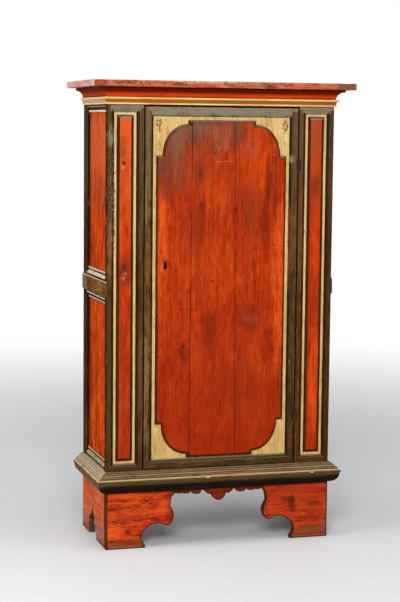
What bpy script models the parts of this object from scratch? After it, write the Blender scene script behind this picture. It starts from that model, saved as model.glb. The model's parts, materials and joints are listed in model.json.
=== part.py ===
"""One-door painted wardrobe in the old Italian country manner.

A post-and-board carcass carries a moulded top, a moulded base on a scrolled bracket plinth,
framed raised panels on its two front stiles, framed sides, and one wide door with a shaped
raised panel, hung on two iron knuckle hinges and shut by an iron lock with a sliding bolt.

Metres, +Z up, the front faces -Y, and the origin is on the floor under the middle.
"""

import math

import bmesh
import bpy
from mathutils import Matrix, Vector

# Fits
GAP = 0.0003                     # left between separate pieces that touch
OVERRUN = 0.004                  # how far a cutter passes the faces it cuts
WELD = 0.0001

# Overall sizes
HEIGHT = 1.700
BODY_WIDTH = 0.858
BODY_DEPTH = 0.388

# Top board and the two mouldings under it
TOP_THICKNESS = 0.024
TOP_SIDE_OVERHANG = 0.066
TOP_FRONT_OVERHANG = 0.054
TOP_ARRIS = 0.0025
CORNICE_HEIGHT = 0.035
CORNICE_PROJECTION = 0.032
CORNICE_FOOT = 0.005
CORNICE_RADIUS = 0.026
GILT_HEIGHT = 0.027
GILT_UPPER_BEAD = 0.004
GILT_UPPER_PROJECTION = 0.015
GILT_LOWER_BEAD = 0.0034
GILT_LOWER_PROJECTION = 0.0085

# Bracket plinth and the moulding over it
BRACKET_HEIGHT = 0.211
BRACKET_THICKNESS = 0.022
BASE_HEIGHT = 0.078
BASE_PROJECTION = 0.0386
BASE_NOSE_RADIUS = 0.0062
BASE_NOSE_HEIGHT = 0.0445        # of the nose's middle over the plinth

# Front stiles and rails
STILE_WIDTH = 0.1355
BOARD_THICKNESS = 0.018
STRIP_DEPTH = 0.008              # the ground of the boards lies this far behind the front
STILE_STRIP_WIDTH = 0.0270
STILE_MARGIN = 0.0125            # ground that shows between strip and raised panel
PANEL_RISE = 0.0065
PANEL_LIP = 0.001                # straight edge under the chamfer
PANEL_CHAMFER = 0.008

# Sides
RAIL_THICKNESS = 0.022
REAR_STILE_WIDTH = 0.072
SIDE_PANEL_THICKNESS = 0.011
SIDE_PANEL_RECESS = 0.0085
GROOVE_DEPTH = 0.008
SIDE_TOP_RAIL_FACE = 0.003       # plain face between the gilt moulding and the rail's own
SIDE_MID_RAIL_RISE = 0.607       # over the base moulding
SIDE_BOTTOM_RAIL_FACE = 0.0136   # between the base moulding and the rail's own
SIDE_UPPER_MOULDING = 0.025      # height of the moulding on a rail's upper edge
SIDE_UNDER_MOULDING = 0.024      # height of the moulding on a rail's lower edge
SIDE_BEAD_RADIUS = 0.002         # of the bead on the bottom rail over the base moulding
BELT_HEIGHT = 0.0585
BELT_PROJECTION = 0.0045
BELT_UNDER_MARGIN = 0.004        # of the middle rail's face that shows under the belt
BELT_UPPER_MARGIN = 0.0065       # and over it

# Back, floor and inner fittings
BACK_BOARD_THICKNESS = 0.016
BACK_BOARD_SETBACK = 0.0035
BACK_BOARD_COUNT = 3
BACK_BOARD_LAP = 0.012
FLOOR_THICKNESS = 0.020
FLOOR_RISE = 0.009               # of the floor over the sill, where the door closes on its edge
HAT_SPACE = 0.346                # from the shelf to the underside of the top board
SHELF_THICKNESS = 0.018
SHELF_SETBACK = 0.034            # behind the back of the door boards
CLEAT_WIDTH = 0.022
CLEAT_HEIGHT = 0.030
PEG_RAIL_HEIGHT = 0.060
PEG_RAIL_THICKNESS = 0.018
PEG_RAIL_DROP = 0.105            # of the pegs under the shelf's face
PEG_COUNT = 5
PEG_SPACING = 0.150
PEG_LENGTH = 0.078
PEG_SEAT = 0.004                 # of the peg that sits in the rail
PEG_HEAD_RADIUS = 0.013

# Door
DOOR_SIDE_GAP = 0.004
DOOR_TOP_GAP = 0.006
DOOR_BOTTOM_GAP = 0.0025
DOOR_STILE_STRIP = 0.0315
DOOR_RAIL_STRIP = 0.0345
DOOR_BOARD_JOINT_SHARES = (-0.294, 0.580)   # of half the door's width
CARTOUCHE_SIDE_MARGIN = 0.0115
CARTOUCHE_TOP_MARGIN = 0.012
CARTOUCHE_BOTTOM_MARGIN = 0.0015
CARTOUCHE_FLAT_HALF = 0.128      # half of the straight top edge
CARTOUCHE_STEP = 0.014
CARTOUCHE_SHELF = 0.023
CARTOUCHE_SHOULDER = 0.113       # height of the rounded shoulder
CARTOUCHE_JOINT_SHARES = (-0.469, 0.219)    # of half the shaped panel's width
CARTOUCHE_LEAN_SHARES = (0.012, -0.024)     # of the same, over the joint's upper half
SHOULDER_STEPS = 12
BATTEN_HEIGHT = 0.090
BATTEN_THICKNESS = 0.020
BATTEN_END_MARGIN = 0.022
BATTEN_ARRIS = 0.006

# Hinges
HINGE_RISE = 0.1795              # of the lower hinge over the door's bottom edge
HINGE_DROP = 0.2075              # of the upper hinge under its top edge
KNUCKLE_HEIGHT = 0.034
KNUCKLE_RADIUS = 0.006
KNUCKLE_STANDOFF = 0.0065        # of the hinge axis before the front
PIN_RADIUS = 0.0024
PIN_CLEARANCE = 0.0003
PIN_HEAD_RADIUS = 0.0042
LEAF_THICKNESS = 0.0015
LEAF_HEIGHT = 0.060
LEAF_LENGTH = 0.021

# Lock
KEYHOLE_INSET = 0.035            # from the shaped panel's edge
KEYHOLE_RISE = 0.732             # of its lower end over the door's bottom edge
KEYHOLE_HEIGHT = 0.027
KEYHOLE_EYE_RADIUS = 0.0066
KEYHOLE_SLOT_WIDTH = 0.0070
LOCK_PLATE_WIDTH = 0.130
LOCK_PLATE_HEIGHT = 0.104
LOCK_PLATE_THICKNESS = 0.002
LOCK_PLATE_EDGE = 0.004          # from the door's edge to the plate
LOCK_PLATE_CORNER = 0.010
LOCK_PLATE_DROP_SHARE = 0.68     # of the plate that lies under the bolt's top edge
BOLT_HEIGHT = 0.018
BOLT_THICKNESS = 0.006
BOLT_LENGTH = 0.112
BOLT_LIFT = 0.004                # over the keyhole
BOLT_TALON_WIDTH = 0.013
BOLT_TALON_DEPTH = 0.006
BOLT_END_SETBACK = 0.001
BOLT_THROW = 0.018
STAPLE_WIDTH = 0.007
STAPLE_WALL = 0.0035
STAPLE_RIVET = 0.001             # how far a staple's feet enter the plate
STAPLE_MARGIN = 0.018            # from the plate's end to a staple
SPRING_THICKNESS = 0.0014
SPRING_WIDTH = 0.004
SPRING_LENGTH = 0.070
SPRING_RISE = 0.013
SPRING_STEPS = 8
KEEPER_SETBACK = 0.0055          # from the doorway's edge to the keeper

# Lines worked out from the sizes above
HALF = BODY_WIDTH / 2
FRONT = (TOP_FRONT_OVERHANG - BODY_DEPTH) / 2
BACK = FRONT + BODY_DEPTH
TOP_UNDER = HEIGHT - TOP_THICKNESS
CORNICE_BOTTOM = TOP_UNDER - CORNICE_HEIGHT
GILT_BOTTOM = CORNICE_BOTTOM - GILT_HEIGHT
BASE_TOP = BRACKET_HEIGHT + BASE_HEIGHT
GROUND = FRONT + STRIP_DEPTH
BOARD_BACK = GROUND + BOARD_THICKNESS
OPENING_HALF = HALF - STILE_WIDTH
REAR_STILE_FRONT = BACK - REAR_STILE_WIDTH
INNER_HALF = HALF - RAIL_THICKNESS
SIDE_BOTTOM_RAIL_TOP = BASE_TOP + SIDE_BOTTOM_RAIL_FACE + SIDE_UPPER_MOULDING
SIDE_MID_RAIL_LOW = BASE_TOP + SIDE_MID_RAIL_RISE
BELT_BOTTOM = SIDE_MID_RAIL_LOW + SIDE_UNDER_MOULDING + BELT_UNDER_MARGIN
SIDE_MID_RAIL_HIGH = BELT_BOTTOM + BELT_HEIGHT + BELT_UPPER_MARGIN + SIDE_UPPER_MOULDING
SIDE_TOP_RAIL_LOW = GILT_BOTTOM - SIDE_TOP_RAIL_FACE - SIDE_UNDER_MOULDING
BACK_BOARD_FACE = BACK - BACK_BOARD_SETBACK - BACK_BOARD_THICKNESS
DOOR_HALF = OPENING_HALF - DOOR_SIDE_GAP
DOOR_BOTTOM = BASE_TOP + DOOR_BOTTOM_GAP
DOOR_TOP = GILT_BOTTOM - DOOR_TOP_GAP
CARTOUCHE_HALF = DOOR_HALF - DOOR_STILE_STRIP - CARTOUCHE_SIDE_MARGIN
KEYHOLE_X = KEYHOLE_INSET - CARTOUCHE_HALF
KEYHOLE_BOTTOM = DOOR_BOTTOM + KEYHOLE_RISE
SHELF_FACE = TOP_UNDER - HAT_SPACE
PEG_RAIL_LEVEL = SHELF_FACE - PEG_RAIL_DROP
HINGE_LEVELS = (DOOR_BOTTOM + HINGE_RISE, DOOR_TOP - HINGE_DROP)
HINGE_X = (DOOR_HALF + OPENING_HALF) / 2
HINGE_Y = FRONT - KNUCKLE_STANDOFF
BOLT_BOTTOM = KEYHOLE_BOTTOM + KEYHOLE_HEIGHT + BOLT_LIFT
BOLT_TOP = BOLT_BOTTOM + BOLT_HEIGHT
LOCK_PLATE_FACE = BOARD_BACK + GAP + LOCK_PLATE_THICKNESS
BOLT_FACE = LOCK_PLATE_FACE + GAP
LOCK_LEFT = -DOOR_HALF + LOCK_PLATE_EDGE
LOCK_BOTTOM = BOLT_TOP - LOCK_PLATE_HEIGHT * LOCK_PLATE_DROP_SHARE

# Outlines, as shares of the sizes that they follow.
# Strip: across its width, and up from the ground.
STRIP_PROFILE_SHARES = ((0, 0), (1, 0), (1, 0.22), (0.94, 0.46), (0.86, 0.66), (0.76, 0.80),
                        (0.68, 0.84), (0.655, 1), (0.02, 1), (0, 0.9))
# Upper slope of the base moulding: of its projection, and of its height.
BASE_SLOPE_SHARES = ((0.05, 0.995), (0.26, 0.955), (0.26, 0.920), (0.44, 0.888), (0.44, 0.850),
                     (0.60, 0.812), (0.60, 0.776), (0.76, 0.738), (0.76, 0.700), (0.84, 0.682))
BASE_UNDER_DROP_SHARE = 0.49
BASE_UNDER_STEPS = 7
# Moulding on the upper edge of a side rail: a lip by the panel, a quirk and a bevel that rises past
# the rail's face. Inwards of the groove's depth behind the face, and up from the rail's edge of the
# moulding's height.
UPPER_MOULDING_SHARES = ((0.52, 0), (0.52, -0.32), (0.85, -0.36), (0.85, -0.50), (0.56, -0.58),
                         (-0.45, -0.95), (-0.45, -1), (0, -1))
# Moulding on a rail's lower edge, in the same shares: a bead, a hollow bevel and a lip by the panel.
UNDER_MOULDING_SHARES = ((0, 1), (-0.18, 0.98), (-0.26, 0.93), (-0.26, 0.85), (-0.18, 0.80), (0.04, 0.77),
                         (0.20, 0.74), (0.60, 0.60), (0.86, 0.44), (0.86, 0.38), (0.52, 0.34), (0.52, 0))
# Belt over the middle rail: of its projection, and of its height.
BELT_SHARES = ((0, 0), (0.78, 0), (1, 0.03), (1, 0.925), (0.62, 0.94), (0.62, 1), (0, 1))
# Lower edge of the front plinth from the middle to the foot: of half the width, and of the
# height. Each tuple of points is one soft stroke, and the strokes meet in cusps.
PENDANT_SHARES = ((0, 0.770), (0.021, 0.777), (0.044, 0.810), (0.063, 0.872))
APRON_SHARES = (
    ((0.065, 0.891), (0.093, 0.891), (0.112, 0.915), (0.131, 0.953), (0.154, 0.968)),
    ((0.154, 0.968), (0.163, 0.918), (0.182, 0.900), (0.214, 0.900), (0.235, 0.915), (0.252, 0.953)),
    ((0.252, 0.953), (0.261, 0.929), (0.275, 0.917), (0.315, 0.917), (0.329, 0.941)),
    ((0.333, 0.924), (0.378, 0.924)),
    ((0.381, 0.938), (0.401, 0.915), (0.420, 0.863), (0.429, 0.796), (0.431, 0.711)),
    ((0.426, 0.700), (0.413, 0.649), (0.399, 0.564), (0.408, 0.464), (0.434, 0.389), (0.4615, 0.365)),
    ((0.4615, 0.365), (0.490, 0.393), (0.531, 0.422), (0.583, 0.412), (0.620, 0.379), (0.643, 0.336),
     (0.674, 0.275), (0.685, 0.209), (0.685, 0.156), (0.671, 0.085), (0.655, 0.047), (0.655, 0)),
)
# Lower edge of a side plinth from front to back: of the depth, and of the height.
SIDE_ARCH_SHARES = (
    ((0.387, 0), (0.400, 0.038), (0.402, 0.227), (0.433, 0.289), (0.466, 0.322), (0.505, 0.360),
     (0.534, 0.422), (0.554, 0.474), (0.572, 0.531)),
    ((0.572, 0.531), (0.585, 0.474), (0.601, 0.427), (0.629, 0.365), (0.668, 0.327), (0.704, 0.294),
     (0.727, 0.246), (0.732, 0.204), (0.727, 0.104), (0.709, 0.024), (0.696, 0)),
)
STROKE_STEPS = 2
# Turned peg, from the rail outwards: of the head's radius, and of the length.
PEG_PROFILE_SHARES = ((0.95, 0), (0.95, 0.05), (0.62, 0.10), (0.55, 0.45), (0.60, 0.68),
                      (0.85, 0.76), (1.0, 0.86), (0.85, 0.96), (0.45, 1.0))

# Paint and metal colours (linear), with roughness and metallic value
RED = ((0.620, 0.062, 0.012), 0.55, 0)
DOOR_RED = ((0.700, 0.090, 0.020), 0.55, 0)
CREAM = ((0.700, 0.480, 0.220), 0.60, 0)
OLIVE = ((0.110, 0.060, 0.022), 0.60, 0)
SALMON = ((0.640, 0.130, 0.055), 0.60, 0)
MAROON = ((0.330, 0.030, 0.010), 0.55, 0)
GOLD = ((0.780, 0.480, 0.130), 0.45, 0)
DARK_BROWN = ((0.075, 0.040, 0.018), 0.50, 0)
OLD_WOOD = ((0.230, 0.120, 0.052), 0.75, 0)
IRON = ((0.050, 0.045, 0.042), 0.55, 0.9)

X = Vector((1, 0, 0))
Y = Vector((0, 1, 0))
Z = Vector((0, 0, 1))


# Tools

def clear_scene():
    for item in list(bpy.data.objects):
        bpy.data.objects.remove(item, do_unlink=True)


def new_collection(name):
    found = bpy.data.collections.new(name)
    bpy.context.scene.collection.children.link(found)
    return found


def new_material(name, finish):
    colour, roughness, metallic = finish
    material = bpy.data.materials.new(name)
    material.use_nodes = True
    shader = material.node_tree.nodes["Principled BSDF"]
    shader.inputs["Base Color"].default_value = (*colour, 1)
    shader.inputs["Roughness"].default_value = roughness
    shader.inputs["Metallic"].default_value = metallic
    material.diffuse_color = (*colour, 1)
    return material


def add_box(bm, low, high):
    """Add a box between two corners in world metres."""
    low = Vector(low)
    high = Vector(high)
    size = high - low
    matrix = Matrix.Translation((low + high) / 2) @ Matrix.Diagonal((*size, 1))
    bmesh.ops.create_cube(bm, size=1, matrix=matrix)


def smooth_stroke(points, steps):
    """Points of a Catmull-Rom curve through the given points."""
    ends = [points[0], *points, points[-1]]
    found = []
    for index in range(1, len(ends) - 2):
        before, here, there, after = (Vector(ends[index + k]) for k in (-1, 0, 1, 2))
        for step in range(steps):
            t = step / steps
            bend = (there - before) * t + (2 * before - 5 * here + 4 * there - after) * t ** 2
            curl = (3 * here - before - 3 * there + after) * t ** 3
            found.append(tuple(here + (bend + curl) / 2))
    found.append(tuple(points[-1]))
    return found


def arc(centre, radii, start, end, steps):
    """Points of an elliptical arc, with the angles in degrees."""
    found = []
    for step in range(steps + 1):
        angle = math.radians(start + (end - start) * step / steps)
        found.append((centre[0] + radii[0] * math.cos(angle), centre[1] + radii[1] * math.sin(angle)))
    return found


def scaled(shares, width, height, left=0, bottom=0):
    return [(left + a * width, bottom + b * height) for a, b in shares]


def extrude_outline(outline, start, end, across, up, along, origin, mitres=(0, 0)):
    """Extrude a flat outline of (across, up) points from start to end, as a closed bmesh.

    A mitre of 1 lengthens that end by as much as a point lies across.
    """
    curve = bpy.data.curves.new("outline", "CURVE")
    curve.dimensions = "2D"
    curve.fill_mode = "BOTH"
    curve.extrude = (end - start) / 2
    spline = curve.splines.new("POLY")
    spline.points.add(len(outline) - 1)
    for point, (a, b) in zip(spline.points, outline):
        point.co = (a, b, 0, 1)
    spline.use_cyclic_u = True
    holder = bpy.data.objects.new("outline", curve)
    bpy.context.scene.collection.objects.link(holder)
    graph = bpy.context.evaluated_depsgraph_get()
    mesh = bpy.data.meshes.new_from_object(holder.evaluated_get(graph))
    bm = bmesh.new()
    bm.from_mesh(mesh)
    bpy.data.objects.remove(holder, do_unlink=True)
    bpy.data.meshes.remove(mesh)
    bmesh.ops.remove_doubles(bm, verts=bm.verts, dist=WELD)
    middle = (start + end) / 2
    for vert in bm.verts:
        if vert.co.z > 0:
            vert.co.z += mitres[1] * vert.co.x
        else:
            vert.co.z -= mitres[0] * vert.co.x
        vert.co.z += middle
    basis = Matrix((across, up, along)).transposed().to_4x4()
    bmesh.ops.transform(bm, matrix=Matrix.Translation(origin) @ basis, verts=bm.verts)
    bmesh.ops.recalc_face_normals(bm, faces=bm.faces)
    return bm


def place(name, bm, finish, origin=(0, 0, 0), carrier=None):
    """Turn a bmesh in world metres into a named object with its origin at the given point."""
    bmesh.ops.recalc_face_normals(bm, faces=bm.faces)
    bmesh.ops.translate(bm, verts=bm.verts, vec=-Vector(origin))
    mesh = bpy.data.meshes.new(name)
    bm.to_mesh(mesh)
    bm.free()
    item = bpy.data.objects.new(name, mesh)
    item.location = origin
    if carrier is not None:
        item.parent = carrier
        item.location = Vector(origin) - carrier_place(carrier)
    mesh.materials.append(new_material(name, finish))
    PARTS.objects.link(item)
    return item


def carrier_place(carrier):
    found = Vector(carrier.location)
    while carrier.parent is not None:
        carrier = carrier.parent
        found += carrier.location
    return found


def box_piece(name, low, high, finish, carrier=None, arris=0):
    bm = bmesh.new()
    add_box(bm, low, high)
    item = place(name, bm, finish, tuple((Vector(low) + Vector(high)) / 2), carrier)
    if arris:
        bevel = item.modifiers.new("arris", "BEVEL")
        bevel.width = arris
        bevel.segments = 2
    return item


def new_cutter(name, bm):
    mesh = bpy.data.meshes.new(name)
    bmesh.ops.recalc_face_normals(bm, faces=bm.faces)
    bm.to_mesh(mesh)
    bm.free()
    item = bpy.data.objects.new(name, mesh)
    item.hide_render = True
    item.display_type = "WIRE"
    CUTTERS.objects.link(item)
    return item


def turned(name, profile, steps=12):
    """A cutter turned round Z from a profile of (radius, height) that runs from top to bottom."""
    bm = bmesh.new()
    rim = [bm.verts.new((radius, 0, height)) for radius, height in profile]
    for upper, lower in zip(rim, rim[1:]):
        bm.edges.new((upper, lower))
    mesh = bpy.data.meshes.new(name)
    bm.to_mesh(mesh)
    bm.free()
    item = bpy.data.objects.new(name, mesh)
    item.hide_render = True
    item.display_type = "WIRE"
    CUTTERS.objects.link(item)
    screw = item.modifiers.new("turned", "SCREW")
    screw.axis = "Z"
    screw.steps = steps
    screw.render_steps = steps
    screw.use_merge_vertices = True
    screw.merge_threshold = WELD
    return item


def combine(item, tool, operation):
    boolean = item.modifiers.new(tool.name, "BOOLEAN")
    boolean.object = tool
    boolean.operation = operation


def split_at(bm, joint_x, lean, middle_z, half_height, keep_left):
    """Keep one side of a board at a slightly leaning joint, with its cut closed."""
    shift = -GAP / 2 if keep_left else GAP / 2
    normal = Vector((2 * half_height, 0, -2 * lean)).normalized()
    geometry = [*bm.verts, *bm.edges, *bm.faces]
    bmesh.ops.bisect_plane(bm, geom=geometry, plane_co=(joint_x + shift, 0, middle_z),
                           plane_no=normal, clear_outer=keep_left, clear_inner=not keep_left)
    bmesh.ops.edgeloop_fill(bm, edges=[edge for edge in bm.edges if edge.is_boundary])


def raised_panel(outline):
    """A board on the ground with the given front outline, chamfered all round its front."""
    bm = bmesh.new()
    face = bm.faces.new([bm.verts.new((x, GROUND - GAP, z)) for x, z in outline])
    swept = bmesh.ops.extrude_face_region(bm, geom=[face])["geom"]
    bmesh.ops.translate(bm, verts=[item for item in swept if isinstance(item, bmesh.types.BMVert)],
                        vec=-Y * PANEL_LIP)
    bmesh.ops.recalc_face_normals(bm, faces=bm.faces)
    front = min(bm.faces, key=lambda item: item.calc_center_median().y)
    bmesh.ops.inset_region(bm, faces=[front], thickness=PANEL_CHAMFER,
                           depth=PANEL_RISE - PANEL_LIP, use_even_offset=True)
    return bm


def rectangle(left, bottom, right, top):
    return [(left, bottom), (right, bottom), (right, top), (left, top)]


def strip_frame(name, left, bottom, right, top, side_width, rail_width, finish, carrier=None):
    """Mitred strips with a moulded inner edge, laid and glued round a rectangle on the ground.

    The strip's profile is lofted from corner to corner, stretched to each mitre.
    """
    back = GROUND - GAP
    depth = STRIP_DEPTH - GAP
    bm = bmesh.new()
    rings = []
    for corner_x, corner_z, in_x, in_z in ((left, bottom, 1, 1), (right, bottom, -1, 1),
                                           (right, top, -1, -1), (left, top, 1, -1)):
        ring = []
        for across, up in STRIP_PROFILE_SHARES:
            ring.append(bm.verts.new((corner_x + in_x * across * side_width, back - up * depth,
                                      corner_z + in_z * across * rail_width)))
        rings.append(ring)
    count = len(STRIP_PROFILE_SHARES)
    for here, there in zip(rings, rings[1:] + rings[:1]):
        for index in range(count):
            after = (index + 1) % count
            bm.faces.new((here[index], here[after], there[after], there[index]))
    return place(name, bm, finish, (left, FRONT, bottom), carrier)


def wrap_moulding(name, profile, finish):
    """Front, left and right lengths of one moulding, mitred at the front corners.

    The profile is a function of how far the length reaches back behind the face it covers.
    """
    front_profile = profile(GAP - STRIP_DEPTH)
    side_profile = profile(GAP)
    bm = extrude_outline(front_profile, GAP - HALF, HALF - GAP, -Y, Z, X, (0, FRONT, 0), (1, 1))
    place(name + "_front", bm, finish, (0, FRONT, GILT_BOTTOM))
    for side, sign in (("left", -1), ("right", 1)):
        bm = extrude_outline(side_profile, FRONT + GAP, BACK, sign * X, Z, Y, (sign * HALF, 0, 0), (1, 0))
        place(name + "_" + side, bm, finish, (sign * HALF, FRONT, GILT_BOTTOM))


# Top

def make_top_board():
    low = (-HALF - TOP_SIDE_OVERHANG, FRONT - TOP_FRONT_OVERHANG, TOP_UNDER)
    high = (HALF + TOP_SIDE_OVERHANG, BACK, HEIGHT)
    box_piece("top_board", low, high, SALMON, arris=TOP_ARRIS)


def cornice_profile(reach):
    """A quarter hollow under a square fillet."""
    centre = (CORNICE_FOOT + CORNICE_RADIUS, CORNICE_BOTTOM + GAP)
    hollow = arc(centre, (CORNICE_RADIUS, CORNICE_RADIUS), 180, 90, 8)
    top = TOP_UNDER - GAP
    return [(reach, CORNICE_BOTTOM + GAP), *hollow,
            (CORNICE_PROJECTION, centre[1] + CORNICE_RADIUS), (CORNICE_PROJECTION, top), (reach, top)]


def gilt_profile(reach):
    """A small bead, a shallow hollow and a larger bead above it."""
    low = GILT_BOTTOM + GAP
    high = CORNICE_BOTTOM
    lower_middle = (GILT_LOWER_PROJECTION - GILT_LOWER_BEAD, low + GILT_LOWER_BEAD)
    upper_middle = (GILT_UPPER_PROJECTION - GILT_UPPER_BEAD, high - GILT_UPPER_BEAD)
    lower = arc(lower_middle, (GILT_LOWER_BEAD, GILT_LOWER_BEAD), -90, 90, 6)
    upper = arc(upper_middle, (GILT_UPPER_BEAD, GILT_UPPER_BEAD), -90, 90, 6)
    hollow_foot = (lower[-1][0], lower[-1][1])
    hollow_height = upper[0][1] - hollow_foot[1]
    hollow_width = upper[0][0] - hollow_foot[0]
    middle = (upper[0][0], hollow_foot[1])
    hollow = arc(middle, (hollow_width, hollow_height), 180, 90, 5)[1:-1]
    return [(reach, low), *lower, *hollow, *upper, (reach, high)]


def base_profile(reach):
    """A stepped slope over a round nose, with the underside curving back to the plinth."""
    slope = scaled(BASE_SLOPE_SHARES, BASE_PROJECTION, BASE_HEIGHT, 0, BRACKET_HEIGHT)
    nose_middle = (BASE_PROJECTION - BASE_NOSE_RADIUS, BRACKET_HEIGHT + BASE_NOSE_HEIGHT)
    nose = arc(nose_middle, (BASE_NOSE_RADIUS, BASE_NOSE_RADIUS), 70, -60, 6)
    drop = BASE_HEIGHT * BASE_UNDER_DROP_SHARE
    under_middle = (0, BRACKET_HEIGHT + GAP + drop)
    under = arc(under_middle, (nose[-1][0] - GAP, drop), -2, -88, BASE_UNDER_STEPS)
    points = [(reach, BASE_TOP), *slope, *nose, *under, (GAP * 2, BRACKET_HEIGHT + GAP)]
    return [*points, (reach, BRACKET_HEIGHT + GAP)]


def make_mouldings():
    wrap_moulding("cornice", cornice_profile, MAROON)
    wrap_moulding("gilt_moulding", gilt_profile, GOLD)
    wrap_moulding("base_moulding", base_profile, DARK_BROWN)


# Plinth

def front_bracket_edge():
    """Lower edge of the front plinth from the middle to the right foot."""
    points = smooth_stroke(PENDANT_SHARES, STROKE_STEPS)
    for stroke in APRON_SHARES:
        soft = smooth_stroke(stroke, STROKE_STEPS)
        points += soft[1:] if soft[0] == points[-1] else soft
    return scaled(points, HALF, BRACKET_HEIGHT)


def make_plinth():
    right = front_bracket_edge()
    left = [(-x, z) for x, z in reversed(right[1:])]
    top = BRACKET_HEIGHT - GAP
    outline = [(-HALF, 0), *left, *right, (HALF, 0), (HALF, top), (-HALF, top)]
    bm = extrude_outline(outline, 0, BRACKET_THICKNESS, X, Z, Y, (0, FRONT, 0))
    place("bracket_front", bm, RED, (0, FRONT, 0))
    for side, sign in (("left", -1), ("right", 1)):
        edge = []
        for stroke in SIDE_ARCH_SHARES:
            soft = smooth_stroke(stroke, STROKE_STEPS)
            edge += soft[1:] if edge else soft
        edge = scaled(edge, BODY_DEPTH, BRACKET_HEIGHT, FRONT)
        start = FRONT + BRACKET_THICKNESS + GAP
        outline = [(start, 0), *edge, (BACK, 0), (BACK, top), (start, top)]
        bm = extrude_outline(outline, -BRACKET_THICKNESS, 0, Y, Z, sign * X, (sign * HALF, 0, 0))
        place("bracket_" + side, bm, RED, (sign * HALF, FRONT, 0))


# Carcass

def make_front():
    strip_top = GILT_BOTTOM - GAP
    strip_bottom = BASE_TOP + GAP
    for side, sign in (("left", -1), ("right", 1)):
        left, right = sorted((sign * OPENING_HALF, sign * HALF))
        box_piece("front_stile_" + side, (left, GROUND, BRACKET_HEIGHT),
                  (right, BOARD_BACK, TOP_UNDER - GAP), CREAM)
        strip_frame("stile_frame_" + side, left, strip_bottom, right, strip_top,
                    STILE_STRIP_WIDTH, STILE_STRIP_WIDTH, OLIVE)
        margin = STILE_STRIP_WIDTH + STILE_MARGIN
        outline = rectangle(left + margin, strip_bottom + margin, right - margin, strip_top - margin)
        place("stile_panel_" + side, raised_panel(outline), RED, ((left + right) / 2, FRONT, strip_bottom))
    rail_half = OPENING_HALF - GAP
    box_piece("front_top_rail", (-rail_half, GROUND, GILT_BOTTOM), (rail_half, BOARD_BACK, TOP_UNDER - GAP),
              OLIVE)
    box_piece("front_bottom_rail", (-rail_half, GROUND, BRACKET_HEIGHT), (rail_half, BOARD_BACK, BASE_TOP),
              OLIVE)


def groove_span():
    """Where a panel groove starts and ends, inwards from the outer face."""
    return SIDE_PANEL_RECESS - GAP, SIDE_PANEL_RECESS + SIDE_PANEL_THICKNESS + GAP


def grooved_below(low):
    groove_out, groove_in = groove_span()
    return [(groove_out, low + GROOVE_DEPTH), (groove_in, low + GROOVE_DEPTH), (groove_in, low)]


def grooved_above(high):
    groove_out, groove_in = groove_span()
    return [(groove_in, high), (groove_in, high - GROOVE_DEPTH), (groove_out, high - GROOVE_DEPTH),
            (groove_out, high)]


def moulded_above(high):
    """Upper edge of a side rail, from its inner face outwards."""
    groove_out, _ = groove_span()
    worked = scaled(UPPER_MOULDING_SHARES, groove_out, SIDE_UPPER_MOULDING, 0, high)
    return [*grooved_above(high), *worked]


def moulded_below(low):
    """Lower edge of a side rail, from its outer face inwards."""
    groove_out, _ = groove_span()
    worked = scaled(UNDER_MOULDING_SHARES, groove_out, SIDE_UNDER_MOULDING, 0, low)
    return [*worked, (groove_out, low), *grooved_below(low)]


def side_rail_outlines():
    """Sections of the side rails, x inwards from the outer face: name, bottom, top and outline."""
    inner = RAIL_THICKNESS
    high = SIDE_BOTTOM_RAIL_TOP
    bead_middle = (0, BASE_TOP + GAP + SIDE_BEAD_RADIUS)
    bead = arc(bead_middle, (SIDE_BEAD_RADIUS, SIDE_BEAD_RADIUS), 90, 270, 6)
    bottom = [(0, BRACKET_HEIGHT), (inner, BRACKET_HEIGHT), (inner, high), *moulded_above(high), *bead]
    found = [("bottom", BRACKET_HEIGHT, high, bottom)]
    low = SIDE_MID_RAIL_LOW
    high = SIDE_MID_RAIL_HIGH
    mid = [*moulded_below(low), (inner, low), (inner, high), *moulded_above(high)]
    found.append(("mid", low, high, mid))
    low = SIDE_TOP_RAIL_LOW
    high = TOP_UNDER - GAP
    top = [*moulded_below(low), (inner, low), (inner, high), (0, high)]
    found.append(("top", low, high, top))
    return found


def make_side(side, sign):
    inward = -sign * X
    origin = (sign * HALF, 0, 0)
    rails = side_rail_outlines()
    rail_start = BOARD_BACK + GAP
    rail_end = REAR_STILE_FRONT - GAP
    for name, low, _, outline in rails:
        bm = extrude_outline(outline, rail_start, rail_end, inward, Z, Y, origin)
        place("side_" + name + "_rail_" + side, bm, OLIVE, (sign * HALF, rail_start, low))
    groove_out, groove_in = groove_span()
    depth = REAR_STILE_FRONT + GROOVE_DEPTH
    stile = [(0, REAR_STILE_FRONT), (groove_out, REAR_STILE_FRONT), (groove_out, depth), (groove_in, depth),
             (groove_in, REAR_STILE_FRONT), (RAIL_THICKNESS, REAR_STILE_FRONT), (RAIL_THICKNESS, BACK),
             (0, BACK)]
    bm = extrude_outline(stile, BRACKET_HEIGHT, TOP_UNDER - GAP, inward, Y, Z, origin)
    place("rear_stile_" + side, bm, OLIVE, (sign * HALF, REAR_STILE_FRONT, BRACKET_HEIGHT))
    outer = sign * (HALF - SIDE_PANEL_RECESS)
    inner = outer - sign * SIDE_PANEL_THICKNESS
    tongue = GROOVE_DEPTH - GAP
    for name, lower, upper in (("lower", rails[0], rails[1]), ("upper", rails[1], rails[2])):
        low = (min(outer, inner), rail_start, lower[2] - tongue)
        high = (max(outer, inner), REAR_STILE_FRONT + tongue, upper[1] + tongue)
        box_piece("side_panel_" + name + "_" + side, low, high, RED)
    belt = scaled(BELT_SHARES, BELT_PROJECTION, BELT_HEIGHT, 0, BELT_BOTTOM)
    bm = extrude_outline(belt, FRONT, BACK, sign * X, Z, Y, (sign * (HALF + GAP), 0, 0))
    place("side_belt_" + side, bm, OLIVE, (sign * HALF, FRONT, BELT_BOTTOM))


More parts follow.
